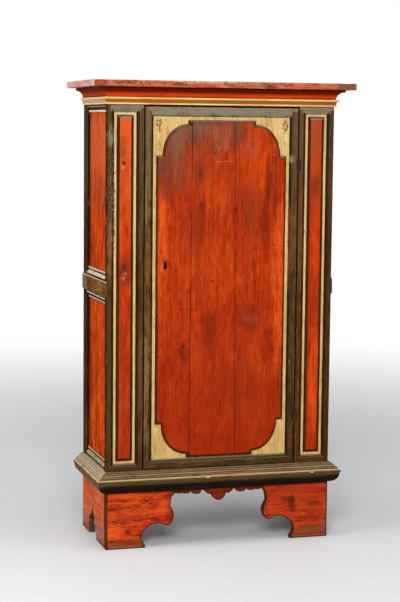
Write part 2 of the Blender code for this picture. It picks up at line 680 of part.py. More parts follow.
def back_board_outline(index, face, rear):
    """Section of a back board, whose inner half laps over the next board to its right."""
    inner = INNER_HALF - GAP
    width = 2 * inner / BACK_BOARD_COUNT
    left = -inner + index * width
    right = left + width
    middle = (face + rear) / 2
    lap = BACK_BOARD_LAP / 2
    outline = []
    if index == 0:
        outline += [(left, rear), (left, face)]
    else:
        step = middle + GAP / 2
        edge = left - lap + GAP
        outline += [(edge, rear), (edge, step), (left + lap, step), (left + lap, face)]
    if index == BACK_BOARD_COUNT - 1:
        outline += [(right, face), (right, rear)]
    else:
        step = middle - GAP / 2
        edge = right + lap - GAP
        outline += [(edge, face), (edge, step), (right - lap, step), (right - lap, rear)]
    return outline


def make_back_and_floor():
    inner = INNER_HALF - GAP
    for index, name in enumerate(("left", "middle", "right")):
        outline = back_board_outline(index, BACK_BOARD_FACE, BACK - BACK_BOARD_SETBACK)
        bm = extrude_outline(outline, BRACKET_HEIGHT, TOP_UNDER - GAP, X, Y, Z, (0, 0, 0))
        place("back_board_" + name, bm, OLD_WOOD, (outline[0][0], BACK_BOARD_FACE, BRACKET_HEIGHT))
    front = BOARD_BACK + GAP
    rear = BACK_BOARD_FACE - GAP
    floor_top = BASE_TOP + FLOOR_RISE
    box_piece("bottom_board", (-inner, front, floor_top - FLOOR_THICKNESS), (inner, rear, floor_top),
              OLD_WOOD)


def make_inner_fittings():
    inner = INNER_HALF - GAP
    front = BOARD_BACK + GAP
    rear = BACK_BOARD_FACE - GAP
    shelf_bottom = SHELF_FACE - SHELF_THICKNESS
    for side, sign in (("left", -1), ("right", 1)):
        left, right = sorted((sign * inner, sign * (inner - CLEAT_WIDTH)))
        box_piece("shelf_cleat_" + side, (left, front, shelf_bottom - GAP - CLEAT_HEIGHT),
                  (right, rear, shelf_bottom - GAP), OLD_WOOD)
    box_piece("hat_shelf", (-inner, BOARD_BACK + SHELF_SETBACK, shelf_bottom), (inner, rear, SHELF_FACE),
              OLD_WOOD, arris=TOP_ARRIS)
    rail_front = rear - PEG_RAIL_THICKNESS
    rail = box_piece("peg_rail", (-inner, rail_front, PEG_RAIL_LEVEL - PEG_RAIL_HEIGHT / 2),
                     (inner, rear, PEG_RAIL_LEVEL + PEG_RAIL_HEIGHT / 2), OLD_WOOD)
    combine(rail, coat_pegs(rail_front + PEG_SEAT), "UNION")


def coat_pegs(seat):
    """A row of turned pegs for the rail, each a profile turned round its own axis."""
    profile = scaled(PEG_PROFILE_SHARES, PEG_HEAD_RADIUS, PEG_LENGTH)
    pegs = turned("coat_pegs", [(0, PEG_LENGTH), *reversed(profile), (0, 0)])
    pegs.location = (-PEG_SPACING * (PEG_COUNT - 1) / 2, seat, PEG_RAIL_LEVEL)
    pegs.rotation_euler = (math.radians(90), 0, 0)
    row = pegs.modifiers.new("row", "ARRAY")
    row.count = PEG_COUNT
    row.use_relative_offset = False
    row.use_constant_offset = True
    row.constant_offset_displace = (PEG_SPACING, 0, 0)
    return pegs


# Door

def new_carrier(name, location, carrier=None):
    """An empty on a joint's axis, which carries the moving pieces."""
    empty = bpy.data.objects.new(name, None)
    empty.location = location
    if carrier is not None:
        empty.parent = carrier
        empty.location = Vector(location) - carrier_place(carrier)
    PARTS.objects.link(empty)
    return empty


def cartouche_outline():
    """Front outline of the shaped panel: straight ends, a step, rounded shoulders and a shelf."""
    half = CARTOUCHE_HALF
    top = DOOR_TOP - DOOR_RAIL_STRIP - CARTOUCHE_TOP_MARGIN
    bottom = DOOR_BOTTOM + DOOR_RAIL_STRIP + CARTOUCHE_BOTTOM_MARGIN
    radii = (half - CARTOUCHE_SHELF - CARTOUCHE_FLAT_HALF, CARTOUCHE_SHOULDER)
    upper = top - CARTOUCHE_STEP - CARTOUCHE_SHOULDER
    lower = bottom + CARTOUCHE_STEP + CARTOUCHE_SHOULDER
    right = [(CARTOUCHE_FLAT_HALF, top)]
    right += arc((CARTOUCHE_FLAT_HALF, upper), radii, 90, 0, SHOULDER_STEPS)
    right += [(half, upper), (half, lower)]
    right += arc((CARTOUCHE_FLAT_HALF, lower), radii, 0, -90, SHOULDER_STEPS)
    right.append((CARTOUCHE_FLAT_HALF, bottom))
    return [*right, *[(-x, z) for x, z in reversed(right)]]


def keyhole_cutter():
    """A round eye with a slot over it, through the door and the lock plate."""
    slot = KEYHOLE_SLOT_WIDTH / 2
    eye = KEYHOLE_EYE_RADIUS
    meet = math.degrees(math.acos(slot / eye))
    outline = arc((KEYHOLE_X, KEYHOLE_BOTTOM + eye), (eye, eye), meet, -180 - meet, 12)
    crown = (KEYHOLE_X, KEYHOLE_BOTTOM + KEYHOLE_HEIGHT - slot)
    outline += arc(crown, (slot, slot), 180, 0, 6)
    return new_cutter("keyhole_cutter", extrude_outline(outline, FRONT - OVERRUN, LOCK_PLATE_FACE + OVERRUN,
                                                        X, Z, Y, (0, 0, 0)))


def make_door(axis, keyhole):
    edges = [-DOOR_HALF, *[share * DOOR_HALF for share in DOOR_BOARD_JOINT_SHARES], DOOR_HALF]
    for index, name in enumerate(("left", "middle", "right")):
        left = edges[index] + (GAP / 2 if index else 0)
        right = edges[index + 1] - (GAP / 2 if index < len(DOOR_BOARD_JOINT_SHARES) else 0)
        board = box_piece("door_board_" + name, (left, GROUND, DOOR_BOTTOM), (right, BOARD_BACK, DOOR_TOP),
                          CREAM, axis)
        if left < KEYHOLE_X < right:
            combine(board, keyhole, "DIFFERENCE")
    strip_frame("door_frame", -DOOR_HALF, DOOR_BOTTOM, DOOR_HALF, DOOR_TOP,
                DOOR_STILE_STRIP, DOOR_RAIL_STRIP, OLIVE, axis)
    make_cartouche(axis, keyhole)
    end = DOOR_HALF - BATTEN_END_MARGIN
    for name, level in zip(("lower", "upper"), HINGE_LEVELS):
        box_piece("door_batten_" + name, (-end, BOARD_BACK + GAP, level - BATTEN_HEIGHT / 2),
                  (end, BOARD_BACK + GAP + BATTEN_THICKNESS, level + BATTEN_HEIGHT / 2), OLD_WOOD, axis,
                  BATTEN_ARRIS)


def make_cartouche(axis, keyhole):
    """The shaped raised panel in three boards, parted at its two leaning joints."""
    middle_z = (DOOR_TOP + DOOR_BOTTOM) / 2
    half_height = (DOOR_TOP - DOOR_BOTTOM) / 2
    joints = [share * CARTOUCHE_HALF for share in CARTOUCHE_JOINT_SHARES]
    leans = [share * CARTOUCHE_HALF for share in CARTOUCHE_LEAN_SHARES]
    first, second = zip(joints, leans)
    cuts = {"left": ((*first, True),), "middle": ((*first, False), (*second, True)),
            "right": ((*second, False),)}
    for name, sides in cuts.items():
        bm = raised_panel(cartouche_outline())
        for joint_x, lean, keep_left in sides:
            split_at(bm, joint_x, lean, middle_z, half_height, keep_left)
        board = place("door_panel_" + name, bm, DOOR_RED, (sides[0][0], FRONT, middle_z), axis)
        if name == "left":
            combine(board, keyhole, "DIFFERENCE")


# Hinges

def add_cylinder(bm, radius, low, high, x, y, steps=16):
    matrix = Matrix.Translation((x, y, (low + high) / 2))
    bmesh.ops.create_cone(bm, cap_ends=True, segments=steps, radius1=radius, radius2=radius,
                          depth=high - low, matrix=matrix)


def knuckle_parts(name, left, low, high):
    """Neck and knuckle of one leaf, to be joined to its plate."""
    neck = bmesh.new()
    add_box(neck, (left, HINGE_Y, low), (left + LEAF_THICKNESS, FRONT + GAP + LEAF_THICKNESS, high))
    knuckle = bmesh.new()
    add_cylinder(knuckle, KNUCKLE_RADIUS, low, high, HINGE_X, HINGE_Y)
    return new_cutter(name + "_neck", neck), new_cutter(name + "_knuckle", knuckle)


def hinge_leaf(name, left, level, low, high, carrier=None):
    """A plate in the door gap, with its half of the knuckle before it."""
    item = box_piece(name, (left, FRONT + GAP, level - LEAF_HEIGHT / 2),
                     (left + LEAF_THICKNESS, FRONT + LEAF_LENGTH, level + LEAF_HEIGHT / 2), IRON, carrier)
    for tool in knuckle_parts(name, left, low, high):
        combine(item, tool, "UNION")
    return item


def hinge_pin(name, level):
    """A turned pin with a ball head, which stands in the lower knuckle and passes the upper one."""
    seat = math.acos(PIN_RADIUS / PIN_HEAD_RADIUS)
    middle = KNUCKLE_HEIGHT / 2 + GAP + PIN_HEAD_RADIUS * math.sin(seat)
    head = arc((0, middle), (PIN_HEAD_RADIUS, PIN_HEAD_RADIUS), 90, -math.degrees(seat), 6)
    foot = -KNUCKLE_HEIGHT / 4
    pin = turned(name, [(0, head[0][1]), *head[1:], (PIN_RADIUS, foot), (0, foot)])
    pin.location = (HINGE_X, HINGE_Y, level)
    return pin


def make_hinges(axis):
    """Two lift-off hinges: the frame leaf holds the pin, and the door leaf turns on it."""
    for name, level in zip(("lower", "upper"), HINGE_LEVELS):
        low = level - KNUCKLE_HEIGHT / 2
        high = level + KNUCKLE_HEIGHT / 2
        left = OPENING_HALF - GAP - LEAF_THICKNESS
        fixed = hinge_leaf("hinge_frame_leaf_" + name, left, level, low, level - GAP / 2)
        combine(fixed, hinge_pin("hinge_pin_" + name, level), "UNION")
        turning = hinge_leaf("hinge_door_leaf_" + name, DOOR_HALF + GAP, level, level + GAP / 2, high, axis)
        bore = bmesh.new()
        add_cylinder(bore, PIN_RADIUS + PIN_CLEARANCE, low - OVERRUN, high + OVERRUN, HINGE_X, HINGE_Y)
        combine(turning, new_cutter("hinge_bore_" + name, bore), "DIFFERENCE")


# Lock

def staple_outline(near, clearance):
    """A bridge over the bolt in (y, z), with its feet at the given depth."""
    eye_low = BOLT_BOTTOM - clearance
    eye_high = BOLT_TOP + clearance
    eye_back = BOLT_FACE + BOLT_THICKNESS + clearance
    far = eye_back + STAPLE_WALL
    low = eye_low - STAPLE_WALL
    high = eye_high + STAPLE_WALL
    return [(near, low), (near, eye_low), (eye_back, eye_low), (eye_back, eye_high), (near, eye_high),
            (near, high), (far, high), (far, low)]


def make_lock(axis, keyhole):
    right = LOCK_LEFT + LOCK_PLATE_WIDTH
    top = LOCK_BOTTOM + LOCK_PLATE_HEIGHT
    corner = LOCK_PLATE_CORNER
    outline = [(LOCK_LEFT, LOCK_BOTTOM), (right - corner, LOCK_BOTTOM)]
    outline += arc((right - corner, LOCK_BOTTOM + corner), (corner, corner), -80, 0, 4)
    outline += arc((right - corner, top - corner), (corner, corner), 0, 90, 4)
    outline.append((LOCK_LEFT, top))
    bm = extrude_outline(outline, BOARD_BACK + GAP, LOCK_PLATE_FACE, X, Z, Y, (0, 0, 0))
    plate = place("lock_plate", bm, IRON, (LOCK_LEFT, BOARD_BACK, LOCK_BOTTOM), axis)
    combine(plate, keyhole, "DIFFERENCE")
    staple = staple_outline(LOCK_PLATE_FACE - STAPLE_RIVET, GAP)
    first = LOCK_LEFT + STAPLE_MARGIN
    second = LOCK_LEFT + BOLT_LENGTH - STAPLE_MARGIN - STAPLE_WIDTH
    for name, start in (("left", first), ("right", second)):
        bm = extrude_outline(staple, start, start + STAPLE_WIDTH, Y, Z, X, (0, 0, 0))
        combine(plate, new_cutter("bolt_staple_" + name, bm), "UNION")
    make_bolt(axis)
    make_bolt_spring(axis, first + STAPLE_WIDTH + STAPLE_WALL)
    edge = -OPENING_HALF - KEEPER_SETBACK
    bridge = staple_outline(BOARD_BACK + GAP, 2 * GAP)
    bm = extrude_outline(bridge, edge - STAPLE_WIDTH, edge, Y, Z, X, (0, 0, 0))
    place("keeper", bm, IRON, (edge, BOARD_BACK, BOLT_BOTTOM))


def make_bolt(axis):
    """A flat bar with a notch in its lower edge for the key."""
    left = -DOOR_HALF + BOLT_END_SETBACK
    right = left + BOLT_LENGTH
    notch = KEYHOLE_X - BOLT_THROW / 2
    notch_left = notch - BOLT_TALON_WIDTH / 2
    notch_right = notch + BOLT_TALON_WIDTH / 2
    notch_top = BOLT_BOTTOM + BOLT_TALON_DEPTH
    outline = [(left, BOLT_BOTTOM), (notch_left, BOLT_BOTTOM), (notch_left, notch_top),
               (notch_right, notch_top), (notch_right, BOLT_BOTTOM), (right, BOLT_BOTTOM), (right, BOLT_TOP),
               (left, BOLT_TOP)]
    slide = new_carrier("bolt_slide_axis", (left, BOLT_FACE + BOLT_THICKNESS / 2, BOLT_BOTTOM), axis)
    bm = extrude_outline(outline, BOLT_FACE, BOLT_FACE + BOLT_THICKNESS, X, Z, Y, (0, 0, 0))
    place("lock_bolt", bm, IRON, (left, BOLT_FACE + BOLT_THICKNESS / 2, BOLT_BOTTOM), slide)


def make_bolt_spring(axis, start):
    """A bent leaf whose free end bears on the bolt and whose fixed end has a thick foot."""
    base = BOLT_TOP + GAP
    lower = []
    for step in range(SPRING_STEPS + 1):
        share = step / SPRING_STEPS
        lower.append((start + share * SPRING_LENGTH, base + SPRING_RISE * share ** 2))
    foot = SPRING_WIDTH
    end = lower[-1]
    lower.append((end[0] + foot, end[1]))
    upper = [(x, z + SPRING_THICKNESS) for x, z in reversed(lower[:-2])]
    crown = [(end[0] + foot, end[1] + foot), (end[0], end[1] + foot)]
    bm = extrude_outline([*lower, *crown, *upper], BOLT_FACE, BOLT_FACE + SPRING_WIDTH, X, Z, Y, (0, 0, 0))
    place("bolt_spring", bm, IRON, (end[0], BOLT_FACE, base), axis)


def main():
    make_top_board()
    make_mouldings()
    make_plinth()
    make_front()
    make_side("left", -1)
    make_side("right", 1)
    make_back_and_floor()
    make_inner_fittings()
    axis = new_carrier("door_hinge_axis", (HINGE_X, HINGE_Y, DOOR_BOTTOM))
    keyhole = keyhole_cutter()
    make_door(axis, keyhole)
    make_hinges(axis)
    make_lock(axis, keyhole)


clear_scene()
PARTS = new_collection("wardrobe")
CUTTERS = new_collection("cutters")
main()
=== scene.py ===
"""Looks of the painted one-door wardrobe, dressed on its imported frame.

Metres, +Z up, the front faces -Y, and the origin is on the floor under the middle.
"""

import json
import math

import bmesh
import bpy
from mathutils import Color, Matrix, Vector, kdtree, noise

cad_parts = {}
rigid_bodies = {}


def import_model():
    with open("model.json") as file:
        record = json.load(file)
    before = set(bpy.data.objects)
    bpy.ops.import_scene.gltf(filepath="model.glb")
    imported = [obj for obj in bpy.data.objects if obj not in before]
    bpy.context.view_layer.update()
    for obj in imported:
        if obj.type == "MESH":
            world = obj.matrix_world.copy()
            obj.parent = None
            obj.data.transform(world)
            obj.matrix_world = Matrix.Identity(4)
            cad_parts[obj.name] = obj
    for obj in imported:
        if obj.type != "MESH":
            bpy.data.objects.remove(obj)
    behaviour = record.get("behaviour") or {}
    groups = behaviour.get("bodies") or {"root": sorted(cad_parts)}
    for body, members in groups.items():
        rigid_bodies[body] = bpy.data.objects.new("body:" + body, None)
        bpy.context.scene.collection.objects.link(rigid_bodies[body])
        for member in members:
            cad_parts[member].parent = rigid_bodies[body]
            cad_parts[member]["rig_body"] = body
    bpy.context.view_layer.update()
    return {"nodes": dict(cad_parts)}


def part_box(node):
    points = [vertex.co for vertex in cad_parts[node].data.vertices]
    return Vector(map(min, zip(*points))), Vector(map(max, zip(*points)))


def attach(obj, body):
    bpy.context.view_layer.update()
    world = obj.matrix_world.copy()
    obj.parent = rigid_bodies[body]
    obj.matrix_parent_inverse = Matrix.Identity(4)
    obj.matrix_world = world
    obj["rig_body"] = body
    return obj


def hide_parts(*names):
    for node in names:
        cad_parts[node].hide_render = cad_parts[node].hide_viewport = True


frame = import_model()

# The photograph's view
CAMERA_PLACE = Vector((-1.749, -5.8181, 1.5405))
CAMERA_YAW = math.radians(-16.4545)
CAMERA_PITCH = math.radians(6.1433)
CAMERA_ROLL = math.radians(0.5707)
CAMERA_LENS = 97.25                 # mm, for the film below along the picture's longer side
FILM = 36

# Wear of the wood
WELD = 0.00002
FLAT_ANGLE = math.radians(0.5)      # faces that meet at less are one flat face
ARRIS_ANGLE = math.radians(28)      # edges sharper than this are worn round
SHADING_ANGLE = math.radians(38)    # and edges sharper than this stay crisp in the light
ARRIS = 0.0009
TOP_ARRIS = 0.0015
PANEL_ARRIS = 0.0006
STRIP_ARRIS = 0.0005
MOULDING_ARRIS = 0.0004
FINE_ARRIS = 0.0003
IRON_ARRIS = 0.0002
ARRIS_SAMPLE = 0.004
FINE_CUT = 0.008                    # distance between the cuts that let a face bend
CUT = 0.012
LONG_CUT = 0.02
WAVE = 0.0003                       # depth of the hand plane's waves
WAVES_ALONG = 3
WAVES_ACROSS = 16
DENT = 0.001                        # depth of the knocks along an arris
FOOT_DENT = 0.0015
DENT_REACH = 0.0025
DENT_SCALE = 90
SEEDS = 97                          # each piece has waves and knocks of its own, by its name
PANEL_LIP = 0.001                   # a chamfer's foot lies at least this far behind the panel's face
SLOPE_FLAT = 0.97                   # and its normal has between these shares along the depth
SLOPE_STEEP = 0.3

# Pieces that come in sets, and which way their faces face
SIDES = ("left", "right")
THIRDS = ("left", "middle", "right")
FACING = 0.5                        # share of a normal along an axis, from which a face faces that way
END_FACING = 0.8

# Nails
NAIL_RADIUS = 0.0042
NAIL_HEIGHT = 0.0018
NAIL_SINK = 0.0005
NAIL_MARGIN = 0.025
PLATE_NAIL_RADIUS = 0.003
PLATE_MARGIN = 0.009
PLATE_THICKNESS = 0.002
NAIL_SIDES = 7
NAIL_TOP_SHARE = 0.42               # a head's flat top, of its radius
NAIL_TURN = 2.4
BATTEN_SHARES = (0.3, 0.7)          # heights of a batten's two rows of nails

# Studio
WHITE = (255, 255, 255)
WORLD_LIGHT = 0.22
FLOOR_RADIUS = 30
FLOOR_SIDES = 64
FLOOR_FADE = (1.2, 6.0)             # where the floor starts to turn white, and is white
LIGHT_TARGET = Vector((0, 0, 0.9))
SOFTBOXES = (                       # name, place, width and height, power in watts
    ("key", (-1.8, -5.2, 3.3), (2.4, 2.0), 250),
    ("top", (0.4, -1.4, 6.4), (3.5, 3.0), 145),
    ("side", (-4.8, -0.8, 2.8), (2.4, 2.4), 108),
)


def linear(colour):
    """Red, green and blue as they look on screen, 0 to 255, as the linear values that nodes take."""
    return (*Color([value / 255 for value in colour]).from_srgb_to_scene_linear(), 1)


# Geometry

class Edges:
    """Straight edges, and how far a point is from the nearest one."""

    def __init__(self, segments):
        self.segments = segments
        samples = []
        for index, (start, end) in enumerate(segments):
            count = max(1, math.ceil((end - start).length / ARRIS_SAMPLE))
            samples += [(start.lerp(end, step / count), index) for step in range(count + 1)]
        self.tree = kdtree.KDTree(len(samples))
        for place, index in samples:
            self.tree.insert(place, index)
        self.tree.balance()

    def distance(self, point):
        _, index, _ = self.tree.find(point)
        start, end = self.segments[index]
        along = end - start
        share = max(0, min(1, (point - start).dot(along) / max(along.length_squared, WELD ** 2)))
        return (point - start - along * share).length


def middle_and_half(node):
    """The middle of a node's box, and half its size."""
    low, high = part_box(node)
    return (low + high) / 2, (high - low) / 2


def cad_copy(node):
    """The node's mesh with its flat faces whole again."""
    bm = bmesh.new()
    bm.from_mesh(frame["nodes"][node].data)
    bmesh.ops.remove_doubles(bm, verts=bm.verts, dist=WELD)
    bmesh.ops.dissolve_limit(bm, angle_limit=FLAT_ANGLE, verts=bm.verts, edges=bm.edges)
    return bm


def arrises(bm):
    return [edge for edge in bm.edges if edge.is_manifold and edge.calc_face_angle_signed() > ARRIS_ANGLE]


def stretch(grain, along, across=1):
    """The scale of a pattern that runs along the grain."""
    return Vector([along if axis == grain else across for axis in "XYZ"])


def ends(edge):
    return tuple(vert.co.copy() for vert in edge.verts)


def cut_up(bm, spacing):
    """Cut all faces by planes across each axis that has a spacing."""
    low = [min(vert.co[axis] for vert in bm.verts) for axis in range(3)]
    high = [max(vert.co[axis] for vert in bm.verts) for axis in range(3)]
    for axis, step in enumerate(spacing):
        if not step:
            continue
        count = max(1, round((high[axis] - low[axis]) / step))
        normal = Matrix.Identity(3)[axis]
        for index in range(1, count):
            place = normal * (low[axis] + (high[axis] - low[axis]) * index / count)
            bmesh.ops.bisect_plane(bm, geom=[*bm.verts, *bm.edges, *bm.faces], plane_co=place,
                                   plane_no=normal, dist=WELD)


def wear_down(bm, edges, seed, grain, wave, dent):
    """Push the surface in by a planed wave, and its arrises by knocks."""
    bm.normal_update()
    distance = bm.verts.layers.float.new("arris")
    scale = stretch(grain, WAVES_ALONG, WAVES_ACROSS)
    shift = Vector((seed, seed * 0.7, seed * 1.3))
    for vert in bm.verts:
        near = edges.distance(vert.co)
        vert[distance] = min(near, LONG_CUT)
        wavy = noise.noise(vert.co * scale + shift)
        knock = max(0, noise.noise(vert.co * DENT_SCALE + shift)) * max(0, 1 - near / DENT_REACH)
        vert.co -= vert.normal * (wave * (0.5 + 0.5 * wavy) + dent * knock)


def link_object(name, data):
    """A new object in the scene, of this mesh, lamp or camera."""
    item = bpy.data.objects.new(name, data)
    bpy.context.scene.collection.objects.link(item)
    return item


def add_object(name, bm, materials):
    """A new object of this mesh, with the materials of these names."""
    mesh = bpy.data.meshes.new(name)
    bm.to_mesh(mesh)
    bm.free()
    for material in materials.split():
        mesh.materials.append(bpy.data.materials[material])
    return link_object(name, mesh)


def dress(node, bm, materials, pick=None):
    """Turn a worn mesh into the piece that stands for its CAD node."""
    bmesh.ops.recalc_face_normals(bm, faces=bm.faces)
    if pick:
        bm.normal_update()
        for face in bm.faces:
            face.material_index = int(pick(face))
    piece = add_object(node + "_worn", bm, materials)
    piece.data.shade_smooth()
    piece.data.set_sharp_from_angle(angle=SHADING_ANGLE)
    shading = piece.modifiers.new("shading", "WEIGHTED_NORMAL")
    shading.keep_sharp = True
    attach(piece, frame["nodes"][node]["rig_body"])
    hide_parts(node)


def worn(node, materials, grain="Z", spacing=(CUT, CUT, CUT), arris=ARRIS, wave=WAVE, dent=DENT,
         pick=None, mark=None):
    """A hand-worked copy of a CAD node: rounded arrises, planed waves and knocks."""
    bm = cad_copy(node)
    sharp = arrises(bm)
    edges = Edges([ends(edge) for edge in sharp])
    extra = mark(bm) if mark else None
    if arris:
        bmesh.ops.bevel(bm, geom=sharp, offset=arris, offset_type="OFFSET", segments=2, profile=0.5,
                        affect="EDGES", clamp_overlap=True)
    cut_up(bm, spacing)
    seed = sum(ord(letter) for letter in node) % SEEDS
    if extra:
        inset = bm.verts.layers.float.new("inset")
        for vert in bm.verts:
            vert[inset] = min(extra.distance(vert.co), 3 * LONG_CUT)
    wear_down(bm, edges, seed, grain, wave, dent)
    dress(node, bm, materials, pick)


def chamfer_foot(bm):
    """The outer edges of a raised panel's chamfer."""
    front = min(vert.co.y for vert in bm.verts)
    found = []
    for edge in bm.edges:
        slopes = [face for face in edge.link_faces if -SLOPE_FLAT < face.normal.y < -SLOPE_STEEP]
        walls = [face for face in edge.link_faces if abs(face.normal.y) < SLOPE_STEEP]
        behind = min(vert.co.y for vert in edge.verts) > front + PANEL_LIP
        if slopes and walls and behind and edge.calc_length() > WELD:
            found.append(ends(edge))
    return Edges(found)


# Materials

GRAIN = 0.05                        # scale of the fine lines along the grain
SOFT_GRAIN = 0.3                    # and of the softer brushed patterns
GILT_HOLLOW = (1.6195, 1.6345)      # heights of the hollow between the gilt moulding's beads
GILT_SOFT = 0.0025
SOFT_EDGE = 0.0005
# dark brown of dirt and cracks, also laid on as painted shade in recesses and crevices
DIRT_AND_SHADE = (22, 13, 7)


class Value:
    """What a node gives, with signs for the sums that a material is made of."""

    def __init__(self, graph, socket):
        self.graph = graph
        self.socket = socket

    def __add__(self, other):
        return self.graph.math("ADD", self, other)

    __radd__ = __add__

    def __sub__(self, other):
        return self.graph.math("SUBTRACT", self, other)

    def __mul__(self, other):
        return self.graph.math("MULTIPLY", self, other)

    def __rsub__(self, other):
        return self.graph.math("SUBTRACT", other, self)


class Tree:
    """The nodes of a material or of the world."""

    def __init__(self, tree):
        self.nodes = tree.nodes
        self.links = tree.links

    def put(self, socket, value):
        """Link a socket to a node's value, or set it to a plain one."""
        if isinstance(value, Value):
            value = value.socket
        if isinstance(value, bpy.types.NodeSocket):
            self.links.new(value, socket)
        else:
            socket.default_value = linear(value) if socket.type == "RGBA" else value

    def node(self, kind, inputs, output=0, **settings):
        """What a new node gives with these settings and inputs."""
        node = self.nodes.new("ShaderNode" + kind)
        for name, value in settings.items():
            setattr(node, name, value)
        for name, value in inputs.items():
            self.put(node.inputs[name], value)
        return Value(self, node.outputs[output])

    def math(self, operation, first, second=0.0):
        return self.node("Math", {0: first, 1: second}, operation=operation)

    def seen(self):
        """1 on rays from the camera, a mirror or glass, and 0 on those that carry light."""
        rays = self.nodes.new("ShaderNodeLightPath").outputs
        share = rays["Is Camera Ray"]
        for name in ("Is Glossy Ray", "Is Transmission Ray"):
            share = self.math("MAXIMUM", share, rays[name])
        return share


class Graph(Tree):
    """A material's nodes, and the patterns that the paints and woods share."""

    def __init__(self, name, grain="Z", shift=(0, 0, 0)):
        material = bpy.data.materials.new(name)
        material.use_nodes = True
        super().__init__(material.node_tree)
        self.shader = self.nodes["Principled BSDF"]
        coordinates = self.nodes.new("ShaderNodeTexCoord").outputs
        self.x, self.y, self.z = self.split(coordinates["Object"])
        _, self.facing_back, self.up = self.split(coordinates["Normal"])
        self.place = self.vector("ADD", coordinates["Object"], shift)
        self.drawn = self.vector("MULTIPLY", self.place, stretch(grain, SOFT_GRAIN))
        self.lines = self.vector("MULTIPLY", self.place, stretch(grain, GRAIN))
        self.broad = self.noise(self.drawn, 22, 5, 0.65, 0.4)
        self.mottle = self.noise(self.drawn, 75, 4, 0.7, 0.3)
        self.narrow = self.noise(self.lines, 130, 4, 0.7)
        self.fine = self.noise(self.lines, 520, 2)
        self.cloud = self.noise(self.place, 5)

    def split(self, vector):
        node = self.nodes.new("ShaderNodeSeparateXYZ")
        self.put(node.inputs[0], vector)
        return [Value(self, output) for output in node.outputs]

    def vector(self, operation, place, amounts):
        return self.node("VectorMath", {0: place, 1: amounts}, operation=operation)

    def step(self, value, low, high):
        """0 at low and 1 at high, with a soft rise between them."""
        return self.node("MapRange", {"Value": value, "From Min": low, "From Max": high}, "Result",
                         interpolation_type="SMOOTHSTEP")

    def noise(self, place, scale, detail=4, roughness=0.6, twist=0):
        return self.node("TexNoise", {"Vector": place, "Scale": scale, "Detail": detail,
                                      "Roughness": roughness, "Distortion": twist}, "Fac")

    def attribute(self, name):
        return self.node("Attribute", {}, "Fac", attribute_name=name)

    def hollow(self, reach):
        """How open a place is to its surroundings, from 0 in a deep corner to 1."""
        return self.node("AmbientOcclusion", {"Distance": reach}, "AO", samples=6)

    def mix(self, share, first, second, blend="MIX"):
        return self.node("Mix", {0: share, 6: first, 7: second}, 2, data_type="RGBA", blend_type=blend)

    def ramp(self, value, stops):
        node = self.nodes.new("ShaderNodeValToRGB")
        self.put(node.inputs[0], value)
        points = node.color_ramp.elements
        while len(points) < len(stops):
            points.new(1)
        for point, (place, colour) in zip(points, stops):
            point.position = place
            point.color = linear(colour)
        return Value(self, node.outputs[0])

    def cracks(self, scale, width):
        """Thin lines that wander along the grain."""
        level = self.noise(self.lines, scale, 2, 0.5)
        return self.step(self.math("ABSOLUTE", level - 0.5), width, 0)

    def away(self, centre, radii):
        """How far off a place on the front is, where an oval of these radii is 1."""
        across = (self.x - centre[0]) * (1 / radii[0])
        over = (self.z - centre[1]) * (1 / radii[1])
        return self.math("SQRT", across * across + over * over)

    def spot(self, centre, radii, rough=0.7):
        """A blot in the plane of the front, 1 in its middle and 0 outside it."""
        ragged = (self.noise(self.drawn, 1.3 / min(radii), 3) - 0.5) * (rough * 2)
        return self.step(self.away(centre, radii) + ragged, 1.0, 0.35)

    def set_shader(self, inputs):
        for name, value in inputs.items():
            self.put(self.shader.inputs[name], value)

    def finish(self, colour, roughness, height, depth, specular, metallic=0):
        bump = self.node("Bump", {"Distance": depth, "Height": height}, "Normal")
        self.set_shader({"Base Color": colour, "Roughness": roughness, "Specular IOR Level": specular,
                         "Metallic": metallic, "Normal": bump})


# Layers of a paint: places and reaches are in metres, and colours are as they look, 0 to 255

def layer(build):
    """Let a function that lays a layer on the colour so far be called with its own settings alone."""
    def settled(*settings, **named):
        return lambda g, colour: build(g, colour, *settings, **named)
    return settled


@layer
def fade(g, colour, low, high, paint, share=1.0, ragged=0.25):
    """Another paint that comes in between two heights, with a ragged border."""
    level = g.z + (g.broad - 0.5) * (4 * ragged * abs(high - low))
    return g.mix(g.step(level, low, high) * share, colour, paint)


@layer
def band(g, colour, low, high, paint, share=0.9, soft=0.0006, axis="z"):
    """Another paint between two heights, or between two places across, worn through in patches."""
    level = getattr(g, axis) + (g.mottle - 0.5) * (3 * soft)
    inside = g.step(level, low - soft, low + soft) * g.step(level, high + soft, high - soft)
    return g.mix(inside * g.step(g.mottle, 0.28, 0.46) * share, colour, paint)


@layer
def blot(g, colour, centre, radii, paint, share=0.8, rough=0.7):
    """One stain, knot or worn place in the plane of the front; also a painted glint, highlight or shade.
    """
    return g.mix(g.spot(centre, radii, rough) * share, colour, paint)


@layer
def veil(g, colour, centre, radii, paint, share=0.7, rough=0.6):
    """A thin stain that follows the brush and the grain; also a painted glint."""
    streaky = g.step(g.narrow, 0.26, 0.66) * 0.55 + g.step(g.mottle, 0.3, 0.62) * 0.45
    return g.mix(g.spot(centre, radii, rough) * streaky * share, colour, paint)


@layer
def flecks(g, colour, centre, radii, paint, scale, level):
    """A place where the paint has come off in small flakes."""
    flake = g.noise(g.place, scale, 3) + g.spot(centre, radii) * 0.2
    return g.mix(g.step(flake, level + 0.13, level + 0.17) * 0.9, colour, paint)


@layer
def knot(g, colour, centre, radii, paint, share=0.85):
    """A knot that shows through the paint: a dark heart with broken rings round it."""
    reach = g.away(centre, radii) + (g.mottle - 0.5) * 0.9
    rings = g.step(g.math("SINE", reach * 17 + g.broad * 6), 0.1, 0.8)
    rings = rings * (g.step(reach, 1.0, 0.7) * g.step(g.narrow, 0.34, 0.58))
    heart = g.step(reach, 0.36, 0.18)
    return g.mix(g.math("MAXIMUM", rings, heart) * share, colour, paint)


